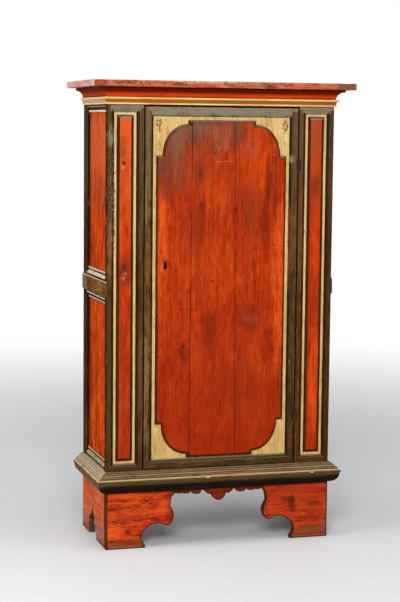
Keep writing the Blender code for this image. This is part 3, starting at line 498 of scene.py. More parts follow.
@layer
def scratch(g, colour, start, end, paint, width=0.0009, share=0.9):
    """A crack or a scratch on the front, from one point to another, that wavers a little."""
    run = Vector(end) - Vector(start)
    length = run.length
    along, over = run / length
    x = g.x - start[0]
    z = g.z - start[1]
    down = x * along + z * over
    off = g.math("ABSOLUTE", z * along - x * over + (g.mottle - 0.5) * (6 * width))
    inside = g.step(down, 0, length / 4) * g.step(down, length, length * 3 / 4)
    return g.mix(g.step(off, width, width / 3) * inside * share, colour, paint)


@layer
def border(g, colour, node, reach, paint):
    """A line that is painted on the ground all round a raised panel."""
    middle, half = middle_and_half(node)
    across = g.math("ABSOLUTE", g.x - middle.x) - half.x
    over = g.math("ABSOLUTE", g.z - middle.z) - half.z
    off = g.math("MAXIMUM", across, over) + (g.broad - 0.5) * 0.003
    return g.mix(g.step(off, reach + SOFT_EDGE, reach - SOFT_EDGE) * 0.95, colour, paint)


@layer
def seams(g, colour, reach, paint, low, high):
    """Dirt along a board's edges, where it meets the next, faint between two heights."""
    near = g.step(g.attribute("arris"), reach + SOFT_EDGE, reach - SOFT_EDGE)
    faint = g.step(g.z, low, low + 0.15) * g.step(g.z, high + 0.1, high)
    patchy = 0.6 + g.step(g.broad, 0.36, 0.6) * 0.4 - faint * 0.5
    return g.mix(near * patchy * 0.9, colour, paint)


@layer
def dust_and_painted_highlight(g, colour, paint, share, low=0.25, high=0.75):
    """Dust and lost paint on what faces up, and a painted highlight: faces turned up are made paler as if
    lit from above.
    """
    patchy = g.step(g.mottle, 0.22, 0.48)
    return g.mix(g.step(g.up, low, high) * patchy * share, colour, paint)


@layer
def slopes(g, colour, dark, light, share):
    """Painted shade and light on the worked slopes of a strip: a darker tone on the slopes, and a painted
    highlight, lighter, where they face up.
    """
    tilted = g.step(g.facing_back, -0.993, -0.93)
    lit = g.step(g.up, 0.25, 0.6)
    colour = g.mix(tilted * share, colour, dark)
    return g.mix(lit * tilted * share, colour, light)


@layer
def chamfer(g, colour, reach):
    """The dark border that is painted on a raised panel's chamfer, and a painted shadow line in the
    crevice at its foot.
    """
    inset = g.attribute("inset") + (g.broad - 0.5) * 0.004
    dark = g.mix(g.mottle, (44, 20, 9), (96, 44, 20))
    colour = g.mix(g.step(inset, reach + 0.0012, reach - 0.0006), colour, dark)
    # painted shadow: a thin dark line in the crevice at the chamfer's foot
    return g.mix(g.step(inset, 0.0026, 0.0012), colour, DIRT_AND_SHADE)


def aged_paint(name, grain, tones, under, layers=(), rub=(0.56, 0.74, 0.002), streaks=1.0, clouds=1.0,
               cracks=0.7, grooves=0.5, gloss=0.5, specular=0.0, corner_shade=0.85):
    """Old brushed paint on softwood: blotches, streaks, cracks, chips and rubbed arrises, with painted
    shade in its recesses and where it meets other parts.

    Rub gives where the wear of an arris starts and is full on its noise, and its width there. Grooves is
    how dark the open grain shows through.
    """
    g = Graph(name, grain)
    tone = 0.5
    for pattern, amount in ((g.broad, 0.7 * streaks), (g.mottle, 0.75 * streaks),
                            (g.narrow, 0.75 * streaks), (g.cloud, 0.8 * clouds)):
        tone = tone + (pattern - 0.5) * amount
    deep, main, light = tones
    colour = g.ramp(tone, ((0.24, deep), (0.5, main), (0.8, light)))
    for lay in layers:
        colour = lay(g, colour)
    brushed = g.node("MapRange", {"Value": g.fine, "From Min": 0.3, "From Max": 0.7, "To Min": 0.36,
                                  "To Max": 0.64}, "Result")
    colour = g.mix(0.7, colour, brushed, "OVERLAY")
    pores = g.step(g.narrow, 0.4, 0.27) * g.step(g.mottle, 0.38, 0.56)
    colour = g.mix(pores * grooves, colour, deep, "MULTIPLY")
    crack = g.cracks(34, 0.0034) * g.step(g.cloud, 0.44, 0.58)
    colour = g.mix(crack * cracks, colour, DIRT_AND_SHADE)
    fleck = g.step(g.noise(g.drawn, 190, 3), 0.665, 0.71)
    colour = g.mix(fleck * 0.65, colour, DIRT_AND_SHADE)
    start, full, width = rub
    reach = g.step(g.noise(g.drawn, 70, 3, 0.7), start, full) * width
    bare = g.step(reach - g.attribute("arris"), -0.0004, 0.0006) * g.step(reach, 0, 0.0002)
    colour = g.mix(bare * 0.85, colour, under)
    # painted shade: darker where ambient occlusion finds the surface hemmed in by other surfaces
    corner = g.step(g.hollow(0.01), 0.78, 0.3)
    colour = g.mix(corner * corner_shade, colour, DIRT_AND_SHADE)
    height = g.narrow * 0.6 + g.fine * 0.3 - (crack * 0.7 + (fleck * 0.35 + pores * 0.4))
    roughness = (gloss - 0.12) + (g.cloud + bare * 0.6) * 0.3
    g.finish(colour, roughness, height, 0.0007, specular)


def bare_wood(name, grain, tones, shift=(0, 0, 0), seam=0.0):
    """Old unpainted softwood with its rings, brown with age.

    Shift takes the grain from another place, and seam darkens a board's edges where it meets the next.
    """
    g = Graph(name, grain, shift)
    rings = g.math("SINE", g.noise(g.lines, 9, 2, 0.4, 0.5) * 90)
    tone = rings * 0.1 + (g.broad * 0.5 + g.cloud * 0.6) + (g.narrow - 0.5) * 0.5
    deep, main, light = tones
    colour = g.ramp(tone, ((0.3, deep), (0.55, main), (0.8, light)))
    cracks = g.cracks(30, 0.002)
    colour = g.mix(cracks * 0.6, colour, DIRT_AND_SHADE)
    # painted shade: darker in recesses and where the wood meets other parts, by ambient occlusion
    colour = g.mix(g.step(g.hollow(0.03), 0.8, 0.2) * 0.7, colour, DIRT_AND_SHADE)
    if seam:
        colour = g.mix(g.step(g.attribute("arris"), 0.004, 0.0012) * seam, colour, DIRT_AND_SHADE)
    height = g.narrow * 0.5 + (rings * 0.15 - cracks)
    g.finish(colour, 0.6 + g.fine * 0.25, height, 0.0006, 0.15)


def old_iron():
    """Hammered iron, brown with rust in its hollows."""
    g = Graph("iron")
    hammer = g.noise(g.place, 160, 2, 0.5)
    rust = g.noise(g.place, 420, 4, 0.7)
    colour = g.ramp(rust, ((0.35, (26, 22, 20)), (0.52, (40, 32, 26)), (0.68, (92, 54, 30))))
    bare = g.step(0.0012 - g.attribute("arris"), -0.0004, 0.0006)
    colour = g.mix(bare * 0.15, colour, (74, 62, 52))
    g.finish(colour, 0.5 + rust * 0.4, hammer + rust * 0.3, 0.0005, 0.05, 0.1)


def gilding(name, grain, tones, deep):
    """Worn gold size on a double bead, dark in its hollow."""
    g = Graph(name, grain)
    main, high = tones
    tone = 0.5 + (g.broad - 0.5 + (g.narrow - 0.5))
    colour = g.ramp(tone, ((0.25, main), (0.6, high)))
    low, top = GILT_HOLLOW
    hollow = g.step(g.z, low, low + GILT_SOFT) * g.step(g.z, top, top - GILT_SOFT)
    colour = g.mix(hollow * 0.95, colour, deep)
    colour = g.mix(g.step(g.noise(g.place, 80, 4, 0.7), 0.64, 0.7) * 0.6, colour, (130, 74, 26))
    # painted shade: darker where the gilding meets other parts, by ambient occlusion
    colour = g.mix(g.step(g.hollow(0.008), 0.7, 0.25) * 0.8, colour, (70, 34, 8))
    g.finish(colour, 0.34 + g.cloud * 0.2, g.narrow + g.fine * 0.3, 0.0004, 0.08)


def door_paint():
    """The red of the door's shaped panel, hazed at the top left and brown in its knots and cracks."""
    haze = (114, 82, 60)
    smoke = (90, 66, 54)
    brown = (84, 32, 15)
    bright = (216, 80, 21)
    layers = [
        fade(0.95, 0.35, (146, 38, 9), 0.6, 0.15),
        veil((0.15, 1.43), (0.1, 0.2), (196, 66, 16), 0.9),
        veil((-0.228, 1.1), (0.03, 0.34), bright, 1.0),
        veil((0.222, 0.96), (0.034, 0.38), bright, 1.0),
        veil((-0.04, 1.02), (0.06, 0.2), (190, 66, 18), 0.6),
        veil((-0.16, 1.47), (0.17, 0.2), (140, 64, 38), 0.8, 0.4),
        veil((-0.2, 1.49), (0.1, 0.15), haze, 1.0, 0.4),
        veil((-0.15, 1.53), (0.18, 0.07), haze, 0.8, 0.4),
        veil((-0.22, 1.42), (0.05, 0.1), smoke, 0.6, 0.4),
        veil((-0.16, 1.37), (0.03, 0.1), smoke, 0.5),
        veil((-0.02, 1.54), (0.2, 0.06), haze, 0.7, 0.4),
        veil((0.055, 1.51), (0.028, 0.085), smoke, 0.85),
        veil((-0.1, 1.5), (0.022, 0.08), smoke),
        veil((0.0, 1.49), (0.055, 0.07), (146, 80, 54), 0.8, 0.4),
        veil((0.1, 1.47), (0.05, 0.06), (150, 80, 58), 0.5),
        veil((-0.215, 1.38), (0.05, 0.15), (116, 48, 32), 0.95, 0.5),
        veil((-0.118, 1.505), (0.016, 0.045), (96, 62, 50), 1.0),
        veil((-0.08, 1.4), (0.1, 0.12), (150, 52, 24), 0.5, 0.5),
        veil((-0.105, 1.15), (0.045, 0.16), (132, 48, 24), 0.6, 0.5),
        veil((0.045, 1.32), (0.05, 0.12), (138, 48, 20), 0.55, 0.5),
        veil((0.125, 1.26), (0.03, 0.16), (140, 50, 26), 0.6, 0.5),
        knot((-0.0845, 1.368), (0.012, 0.03), (62, 34, 22)),
        knot((-0.1, 1.49), (0.016, 0.03), (84, 48, 36), 0.6),
        knot((-0.078, 1.255), (0.02, 0.04), (90, 40, 22), 0.6),
        veil((-0.09, 1.36), (0.03, 0.08), brown, 0.6),
        veil((-0.085, 1.17), (0.032, 0.12), brown, 0.55),
        veil((0.178, 1.34), (0.016, 0.14), brown, 0.95),
        veil((0.205, 1.29), (0.01, 0.13), brown, 0.85),
        veil((0.188, 1.5), (0.022, 0.05), brown),
        veil((0.165, 1.19), (0.024, 0.12), brown, 0.75),
        veil((0.105, 1.22), (0.03, 0.12), (116, 46, 22)),
        veil((-0.039, 0.802), (0.036, 0.13), brown),
        veil((0.104, 0.838), (0.055, 0.07), (112, 42, 20), 0.8),
        veil((-0.139, 0.71), (0.024, 0.06), brown, 0.6),
        veil((0.06, 0.58), (0.16, 0.14), (138, 46, 18), 0.5),
        # round the keyhole: a dark stain, a pink ring that is a painted highlight, and a near-black oval
        # of painted shade that widens the keyhole's dark
        blot((-0.2115, 1.045), (0.016, 0.028), (110, 26, 12), 0.6, 0.4),
        blot((-0.212, 1.0335), (0.0135, 0.019), (206, 112, 88), 0.75, 0.3),
        blot((-0.2115, 1.0345), (0.011, 0.02), (18, 8, 5), 1.0, 0.1),
        blot((-0.172, 1.017), (0.004, 0.01), (56, 22, 12), 0.85),
        blot((-0.035, 0.978), (0.008, 0.009), (64, 30, 22)),
        blot((0.128, 0.972), (0.004, 0.014), (60, 30, 18)),
        blot((-0.141, 0.742), (0.01, 0.006), (60, 26, 16)),
        blot((0.203, 1.108), (0.008, 0.004), (74, 26, 12), 0.7),
        flecks((-0.022, 1.45), (0.036, 0.04), (178, 106, 80), 480, 0.61),
        flecks((-0.022, 1.46), (0.04, 0.045), (84, 36, 22), 340, 0.6),
        flecks((-0.05, 1.252), (0.012, 0.024), (178, 118, 92), 520, 0.62),
        flecks((0.01, 0.912), (0.014, 0.034), (184, 92, 62), 520, 0.62),
        flecks((0.115, 0.835), (0.045, 0.03), (182, 92, 64), 520, 0.63),
        flecks((0.195, 1.4), (0.028, 0.1), (84, 32, 18), 300, 0.6),
        flecks((-0.075, 1.2), (0.03, 0.12), (90, 34, 18), 300, 0.61),
        flecks((-0.139, 0.72), (0.03, 0.05), (80, 30, 16), 300, 0.6),
        scratch((-0.184, 0.88), (-0.072, 0.876), (60, 22, 10), 0.0012),
        scratch((0.055, 0.826), (0.105, 0.818), (74, 26, 12)),
        scratch((-0.03, 1.412), (0.052, 1.416), (176, 104, 76), 0.0022, 0.6),
        seams(0.0013, (44, 18, 10), 0.85, 1.38),
        scratch((0.118, 1.22), (0.128, 0.96), (64, 26, 14), 0.002, 0.85),
        scratch((0.222, 1.47), (0.228, 1.4), (90, 36, 20), 0.0008, 0.7),
        scratch((-0.037, 1.24), (-0.031, 1.06), (74, 30, 18), 0.002, 0.85),
        chamfer(0.0072),
        dust_and_painted_highlight((134, 114, 100), 0.85),
    ]
    tones = ((114, 28, 7), (164, 46, 11), (194, 70, 20))
    aged_paint("door_red", "Z", tones, (104, 48, 22), layers, (0.64, 0.82, 0.0012), streaks=0.8,
               clouds=0.8, grooves=0.55, specular=0.02)


def stile_paint():
    """The red of the stiles' panels, brighter towards the top."""
    layers = [
        fade(1.15, 1.56, (208, 90, 34), 0.85),
        fade(0.85, 0.35, (152, 44, 11), 0.5),
        band(0.3, 0.42, (150, 42, 12), 0.55, 0.01, "x"),
        blot((-0.3669, 1.4066), (0.007, 0.01), (58, 20, 8), 0.9),
        flecks((-0.37, 1.393), (0.012, 0.014), (226, 160, 100), 260, 0.56),
        veil((-0.37, 1.46), (0.014, 0.05), (108, 46, 20), 0.8),
        veil((-0.36, 1.02), (0.022, 0.07), (100, 42, 20), 0.9),
        knot((-0.362, 1.03), (0.016, 0.034), (80, 34, 18), 0.8),
        flecks((-0.366, 1.005), (0.016, 0.03), (200, 112, 84), 420, 0.6),
        veil((-0.365, 0.78), (0.016, 0.07), (112, 44, 20)),
        veil((0.362, 1.33), (0.03, 0.06), (108, 40, 20)),
        veil((0.362, 1.5), (0.035, 0.07), (140, 66, 48)),
        veil((0.366, 1.1), (0.028, 0.22), (206, 60, 12), 0.9),
        veil((0.366, 0.6), (0.03, 0.26), (220, 74, 18), 1.0),
        chamfer(0.0086),
        dust_and_painted_highlight((158, 138, 130), 0.95),
    ]
    tones = ((128, 32, 8), (166, 48, 12), (194, 72, 22))
    aged_paint("stile_red", "Z", tones, (104, 48, 22), layers, (0.64, 0.82, 0.0012), clouds=0.7,
               grooves=0.6, specular=0.02)


def foot_paint():
    """The red of the front plinth, with its level grain, knots and brown worn foot, and a painted shadow
    along its top under the base moulding.
    """
    brown = (80, 30, 13)
    layers = [
        band(0.2, 0.45, (158, 46, 20), 0.6, 0.02, "x"),
        knot((-0.2745, 0.176), (0.034, 0.02), brown),
        knot((-0.3384, 0.154), (0.056, 0.01), brown),
        knot((-0.28, 0.15), (0.06, 0.008), brown, 0.7),
        knot((-0.4006, 0.104), (0.03, 0.016), brown, 0.8),
        knot((-0.365, 0.094), (0.04, 0.01), brown, 0.7),
        veil((-0.36, 0.11), (0.05, 0.02), (120, 50, 24)),
        knot((-0.3492, 0.064), (0.02, 0.026), brown),
        knot((-0.2741, 0.122), (0.009, 0.026), brown, 0.8),
        veil((0.2885, 0.132), (0.022, 0.046), brown, 1.0),
        knot((0.2885, 0.132), (0.018, 0.04), brown, 0.6),
        veil((0.272, 0.152), (0.044, 0.012), brown, 0.9),
        veil((0.375, 0.13), (0.04, 0.016), brown, 0.8),
        veil((0.34, 0.078), (0.06, 0.01), brown),
        flecks((-0.32, 0.12), (0.12, 0.08), brown, 240, 0.63),
        flecks((0.34, 0.12), (0.12, 0.08), brown, 200, 0.66),
        scratch((0.23, 0.12), (0.31, 0.124), brown, 0.0012, 0.8),
        scratch((0.3, 0.176), (0.39, 0.172), brown, 0.0012, 0.8),
        scratch((0.33, 0.1), (0.41, 0.104), brown, 0.0012, 0.8),
        veil((0.36, 0.04), (0.07, 0.016), (112, 56, 34), 0.9),
        scratch((0.37, 0.1675), (0.394, 0.1705), DIRT_AND_SHADE, 0.0018),
        scratch((0.376, 0.0665), (0.408, 0.0715), DIRT_AND_SHADE, 0.0016),
        scratch((-0.208, 0.112), (-0.176, 0.1135), DIRT_AND_SHADE, 0.0016),
        scratch((-0.4, 0.139), (-0.25, 0.146), (96, 34, 14), 0.0012, 0.8),
        scratch((-0.41, 0.085), (-0.33, 0.08), (96, 34, 14), 0.0011, 0.7),
        scratch((0.22, 0.163), (0.31, 0.16), (110, 36, 12), 0.0011, 0.8),
        blot((0.18, 0.097), (0.006, 0.005), (206, 150, 112)),
        veil((0.412, 0.042), (0.022, 0.036), (124, 84, 54), 1.0),
        # painted shadow: darker along the top, under the base moulding
        fade(0.205, 0.212, (60, 26, 12), 0.7, 0.2),
        fade(0.05, 0.012, (112, 56, 30), 0.8, 0.35),
        veil((-0.4, 0.03), (0.1, 0.01), (86, 40, 20), 1.0),
        veil((0.36, 0.026), (0.1, 0.01), (120, 82, 52), 1.0),
        fade(0.012, 0.003, (150, 108, 70), 0.7, 0.35),
        band(-0.19, 0.19, (92, 28, 15), 0.8, 0.02, "x"),
        band(-0.43, -0.4215, (62, 38, 20), 0.85, 0.003, "x"),
        flecks((-0.425, 0.1), (0.006, 0.1), (196, 66, 26), 200, 0.58),
    ]
    tones = ((122, 32, 10), (196, 62, 20), (216, 84, 28))
    aged_paint("foot_red", "X", tones, (58, 30, 15), layers, (0.16, 0.34, 0.0052), streaks=1.5,
               cracks=0.9, grooves=1.0, specular=0.03)


def foot_side_paint():
    """The paler red of the side plinths: grey at the foot and by the arch, dark at the front corner, and a
    painted shadow along the top under the base moulding.
    """
    layers = [
        band(0.04, 0.062, (112, 104, 84), 0.6, 0.01, "y"),
        band(-0.175, -0.135, (72, 46, 22), 0.85, 0.006, "y"),
        fade(0.105, 0.045, (128, 112, 96), 0.55, 0.3),
        fade(0.03, 0.004, (110, 84, 62), 0.8, 0.3),
        # painted shadow: darker along the top, under the base moulding
        fade(0.195, 0.212, (84, 44, 28), 0.7, 0.2),
    ]
    tones = ((160, 70, 38), (202, 92, 54), (216, 124, 86))
    aged_paint("foot_side_red", "Y", tones, (84, 48, 28), layers, (0.3, 0.5, 0.0035))


def cream_paint(name, layers):
    tones = ((172, 132, 72), (208, 172, 108), (224, 194, 134))
    aged_paint(name, "Z", tones, (136, 94, 50), layers, (0.5, 0.7, 0.0015), streaks=0.9,
               clouds=0.7, cracks=0.9, corner_shade=0.95, specular=0.06)


def door_cream():
    brown = (98, 60, 26)
    layers = [
        flecks((-0.238, 1.54), (0.016, 0.044), brown, 230, 0.52),
        flecks((0.24, 1.545), (0.016, 0.034), brown, 230, 0.52),
        flecks((-0.245, 0.366), (0.012, 0.024), brown, 230, 0.53),
        flecks((-0.152, 0.338), (0.012, 0.008), brown, 230, 0.5),
        flecks((-0.222, 0.36), (0.03, 0.03), (164, 110, 58), 260, 0.57),
        veil((-0.22, 0.4), (0.03, 0.05), (172, 128, 70), 0.6),
        scratch((0.2346, 0.452), (0.2285, 0.3385), (92, 58, 26), 0.001),
        scratch((0.171, 1.575), (0.172, 1.536), (92, 58, 26), 0.001),
        fade(0.48, 0.36, (196, 162, 96), 0.6),
    ]
    cream_paint("door_cream", layers)


def stile_cream():
    layers = [
        fade(0.7, 1.1, (222, 184, 132), 0.6),
        flecks((-0.402, 1.22), (0.01, 0.3), (70, 44, 20), 230, 0.58),
        *(border("stile_panel_" + side, 0.0036, (48, 24, 12)) for side in SIDES),
    ]
    cream_paint("stile_cream", layers)


def olive_paint(grain):
    """The olive brown of the frames, greyer towards the top, with painted shade on its slopes and a
    painted highlight where they face up.
    """
    top = (124, 112, 88) if grain == "X" else (112, 94, 66)
    layers = [
        fade(1.1, 1.6, top, 0.75),
        fade(0.5, 0.3, (62, 46, 24), 0.6),
        band(-0.44, -0.2935, (72, 42, 19), 0.64, 0.0005, "x"),
        band(-0.44, -0.402, (70, 52, 20), 0.55, 0.003, "x"),
        band(0.2935, 0.44, (84, 48, 20), 0.55, 0.0005, "x"),
        band(0.2555, 0.2935, (66, 44, 26), 0.5, 0.002, "x"),
        slopes((32, 21, 11), (120, 106, 82), 0.94),
        band(0.412, 0.43, (52, 36, 18), 0.6, 0.004, "x"),
        veil((0.268, 1.423), (0.016, 0.022), (146, 130, 100), 0.8),
        veil((0.262, 1.12), (0.014, 0.2), (124, 58, 22), 1.0),
        veil((-0.278, 1.02), (0.016, 0.1), (118, 66, 34), 0.9),
        veil((-0.418, 1.1), (0.014, 0.16), (132, 84, 46), 0.9),
        veil((-0.414, 1.5), (0.016, 0.05), (136, 120, 96), 0.9),
        blot((-0.412, 1.515), (0.007, 0.012), (74, 60, 42)),
        veil((0.302, 1.2), (0.012, 0.22), (110, 60, 26), 0.8),
        flecks((-0.412, 1.3), (0.014, 0.3), (150, 132, 104), 210, 0.61),
    ]
    if grain == "X":
        layers.append(band(1.575, 1.62, (134, 122, 98), 0.85, 0.004))
    tones = ((52, 36, 18), (94, 66, 34), (124, 94, 56))
    aged_paint("olive_" + grain, grain, tones, (128, 106, 74), layers, (0.58, 0.78, 0.0018),
               streaks=1.8, clouds=1.4, grooves=0.7)


def rail_paint():
    """The side rails: dark grounds, with the pale edges of their mouldings; the bevel that faces up is
    partly a painted highlight, and the dark line under the lower lip is a painted shadow.
    """
    salmon = (222, 182, 162)
    pale = (206, 196, 176)
    layers = [
        # the wide pale bevel facing up is dust and a painted highlight; the dark line below the lower lip
        # is a painted shadow
        band(1.0063, 1.014, salmon), band(0.9901, 1.0002, pale, 0.97),
        band(0.896, 0.8998, (104, 60, 42)), band(0.8998, 0.904, (218, 186, 164)),
        band(0.9148, 0.9206, (212, 200, 172)),
        band(1.587, 1.595, (226, 208, 190)), band(1.6048, 1.611, (150, 130, 108)),
        band(0.3196, 0.3276, (196, 150, 126)), band(0.3036, 0.3133, (168, 154, 126)),
        band(0.2893, 0.2935, (176, 160, 128)),
    ]
    tones = ((38, 26, 14), (66, 48, 28), (92, 72, 46))
    aged_paint("rail", "Y", tones, (140, 118, 86), layers, (0.66, 0.84, 0.0008))


def belt_paint():
    """The belt's brown, reddish in places and grey towards the back, with a pale upper arris."""
    layers = [
        band(0.15, 0.3, (122, 108, 86), 0.85, 0.02, "y"),
        band(-0.145, -0.139, (56, 34, 18), 0.9, 0.001, "y"),
        band(0.9775, 0.99, (184, 152, 124), 0.95),
        band(0.924, 0.9262, (70, 52, 34), 0.8),
    ]
    tones = ((86, 56, 24), (118, 80, 40), (142, 98, 58))
    aged_paint("belt", "Y", tones, (160, 132, 100), layers, (0.6, 0.8, 0.0012), streaks=1.3)


def rear_stile_paint():
    layers = [
        fade(1.1, 1.6, (84, 70, 50), 0.5),
        band(0.216, 0.22, (116, 104, 84), 0.9, 0.0004, "y"),
        # painted shade: a dark line near the stile's front edge, along the recessed panel
        band(0.14, 0.1525, (30, 18, 10), 0.9, 0.001, "y"),
    ]
    tones = ((40, 26, 12), (64, 46, 22), (88, 66, 38))
    aged_paint("rear_stile", "Z", tones, (112, 96, 70), layers, (0.5, 0.7, 0.0012))


def base_paint(grain):
    """The base moulding: dusty khaki treads over dark risers, and a dark nose with one bright upper line;
    light and shade are painted on treads and nose.
    """
    side = grain == "Y"
    tread = (190, 172, 140) if side else (122, 98, 68)
    nose = (118, 88, 54) if side else (88, 68, 36)
    layers = [
        dust_and_painted_highlight(tread, 0.9, 0.35, 0.8),
        band(0.2743, 0.2773, tread if side else (150, 138, 104), 0.5, 0.0012),
        # painted highlight: the nose's bright upper line, partly a worn arris, and the lighter band of its
        # upper half
        band(0.26, 0.2645, (196, 172, 132) if side else (182, 158, 112), 0.85, 0.0008),
        band(0.242, 0.26, nose, 0.9, 0.0016),
        # painted shade: on the front the nose darkens towards its underside; on the sides it turns greyer
        # there
        fade(0.253, 0.23, (120, 98, 88) if side else (22, 12, 7), 0.95, 0.05),
    ]
    if not side:
        layers += [
            # painted glints on the front's nose: two small pale spots and an orange streak
            blot((-0.054, 0.259), (0.01, 0.003), (226, 196, 130), 0.9),
            blot((0.352, 0.257), (0.009, 0.003), (214, 180, 120), 0.9),
            veil((0.06, 0.2655), (0.16, 0.004), (186, 104, 62), 1.0),
        ]
    tones = ((32, 22, 13), (58, 44, 27), (90, 70, 46))
    aged_paint("base_" + grain, grain, tones, (172, 150, 112), layers, (0.56, 0.76, 0.001),
               streaks=1.3, specular=0.0 if side else 0.03, gloss=0.42)


def salmon_paint():
    """The top board's worn front edge, with its knots and pale lost patches."""
    brown = (92, 46, 26)
    layers = [
        veil((-0.2, 1.69), (0.3, 0.02), (192, 80, 42), 0.5),
        veil((0.28, 1.686), (0.14, 0.012), (196, 84, 44), 0.8),
        veil((-0.05, 1.694), (0.16, 0.006), (182, 142, 116), 0.9),
        veil((0.1, 1.691), (0.1, 0.008), (172, 118, 96), 0.8),
        blot((-0.4645, 1.689), (0.04, 0.018), (92, 56, 34), 0.85, 0.25),
        blot((-0.4665, 1.689), (0.021, 0.0105), (190, 64, 40), 0.95, 0.25),
        blot((-0.428, 1.689), (0.012, 0.009), (200, 98, 90), 0.85),
        blot((-0.1925, 1.691), (0.006, 0.007), brown),
        veil((-0.17, 1.684), (0.06, 0.004), brown, 0.8),
        veil((0.165, 1.682), (0.035, 0.005), (76, 44, 30), 1.0),
        blot((0.151, 1.691), (0.01, 0.003), brown, 0.6),
        knot((-0.175, 1.689), (0.04, 0.01), brown),
        knot((0.16, 1.684), (0.045, 0.008), (76, 44, 30)),
        flecks((-0.3, 1.69), (0.2, 0.014), brown, 170, 0.61),
        flecks((0.1, 1.69), (0.3, 0.014), brown, 170, 0.61),
        flecks((-0.1, 1.697), (0.3, 0.004), (206, 176, 146), 150, 0.56),
        blot((0.243, 1.6929), (0.0035, 0.003), DIRT_AND_SHADE, 0.9, 0.3),
        band(0.42, 0.6, (116, 70, 54), 0.9, 0.006, "x"),
        band(-0.6, -0.4885, (212, 176, 150), 0.8, 0.003, "x"),
        fade(1.6795, 1.6765, (150, 58, 30), 0.8, 0.1),
        dust_and_painted_highlight((196, 170, 140), 0.7, 0.5, 0.95),
    ]
    tones = ((138, 62, 36), (178, 94, 62), (192, 124, 96))
    aged_paint("salmon_X", "X", tones, (202, 172, 142), layers, (0.48, 0.66, 0.0016), streaks=1.5,
               specular=0.03)


def cornice_paint(grain):
    """The cornice, deep maroon in a painted shadow under the top board, and orange red at its foot,
    painted brighter as if lit.
    """
    side = grain == "Y"
    tones = (((150, 54, 20), (182, 72, 30), (204, 100, 54)) if side else
             ((176, 44, 10), (206, 64, 14), (220, 88, 26)))
    dark = (104, 42, 24) if side else (80, 14, 4)
    layers = [
        # painted shadow of the top board: darker upwards, with a dark line just under the board; the foot
        # made brighter as painted light; on the sides a pinkish line at the top is a painted highlight
        fade(1.648, 1.664, dark, 0.9, 0.03),
        fade(1.6715, 1.6735, (132, 84, 76) if side else (86, 34, 22), 0.8, 0.1),
        fade(1.6425, 1.6405, (216, 96, 48), 0.6, 0.1),
        band(1.6735, 1.6765, (60, 26, 16), 0.9, 0.0004),
    ]
    aged_paint("cornice_" + grain, grain, tones, (120, 60, 30), layers, (0.6, 0.8, 0.0012),
               streaks=0.5, clouds=0.3, cracks=0.3, grooves=0.2, specular=0.0 if side else 0.02)


def side_paint():
    """The red of the side panels: streaked, brighter towards the top and darker towards the back."""
    layers = [
        fade(1.1, 1.6, (208, 92, 42), 0.5),
        band(0.12, 0.2, (120, 34, 14), 0.6, 0.012, "y"),
        veil((-0.42, 1.47), (0.03, 0.14), (212, 120, 80), 0.35),
        veil((-0.42, 1.3), (0.02, 0.1), (150, 70, 40), 0.5),
    ]
    tones = ((146, 40, 8), (190, 62, 15), (216, 90, 32))
    aged_paint("side_red", "Z", tones, (150, 90, 50), layers, streaks=1.9, grooves=0.6)


def make_materials():
    for make in (door_paint, stile_paint, foot_paint, foot_side_paint, side_paint, door_cream, stile_cream,
                 rail_paint, belt_paint, rear_stile_paint, salmon_paint, old_iron):
        make()
    tones = ((174, 118, 104), (200, 146, 134), (216, 176, 164))
    aged_paint("salmon_Y", "Y", tones, (222, 194, 170), rub=(0.45, 0.62, 0.0025), streaks=0.7)
    gilding("gold_X", "X", ((212, 150, 82), (248, 204, 132)), (132, 84, 14))
    gilding("gold_Y", "Y", ((226, 184, 140), (250, 224, 188)), (178, 146, 94))
    for grain in "XZ":
        olive_paint(grain)
    for grain in "XY":
        cornice_paint(grain)
        base_paint(grain)
        bare_wood("wood_" + grain, grain, ((66, 42, 22), (126, 86, 50), (166, 122, 78)))
    boards = (((62, 38, 20), (120, 80, 46), (160, 116, 72)),
              ((74, 46, 24), (138, 94, 54), (178, 132, 84)),
              ((56, 36, 20), (108, 74, 44), (148, 110, 72)))
    for index, (part, tones) in enumerate(zip(THIRDS, boards)):
        bare_wood("board_" + part, "Z", tones, (0.7 * index, 0.3, 0.9 * index), 0.85)


# Dressing

def frame_pick(node):
    """Strips of a frame: 0 for upright ones and 1 for level ones, parted at the mitres."""
    middle, half = middle_and_half(node)

    def pick(face):
        centre = face.calc_center_median() - middle
        return half.z - abs(centre.z) < half.x - abs(centre.x)
    return pick


def stile_faces(face):
    """Cream before, olive at the edges and bare wood behind."""
    if face.normal.y > FACING:
        return 2
    return abs(face.normal.x) > FACING


def bare_inside(side):
    """Paint outside, and bare wood on what faces the inside of the wardrobe."""
    inward = 1 if side == "left" else -1
    return lambda face: face.normal.x * inward > FACING


def bare_behind(face):
    return face.normal.y > FACING


def bare_but_before(face):
    return face.normal.y >= -FACING


def end_faces(face):
    return abs(face.normal.x) > END_FACING


def dress_front():
    upright = (FINE_CUT, None, CUT)
    strips = (CUT, None, CUT)
    olive = "olive_Z olive_X"
    for side in SIDES:
        worn("front_stile_" + side, "stile_cream olive_Z board_right",
             spacing=upright, pick=stile_faces)
        worn("stile_panel_" + side, "stile_red", spacing=upright,
             arris=PANEL_ARRIS, mark=chamfer_foot)
        worn("stile_frame_" + side, olive, spacing=strips, arris=STRIP_ARRIS,
             pick=frame_pick("stile_frame_" + side))
    worn("door_frame", olive, spacing=strips, arris=STRIP_ARRIS,
         pick=frame_pick("door_frame"))
    for part in THIRDS:
        worn("door_board_" + part, "door_cream board_" + part,
             spacing=upright, pick=bare_but_before)
        worn("door_panel_" + part, "door_red", spacing=upright,
             arris=PANEL_ARRIS, mark=chamfer_foot)
    for name in ("front_top_rail", "front_bottom_rail"):
        worn(name, "wood_X", "X", (LONG_CUT, None, None))


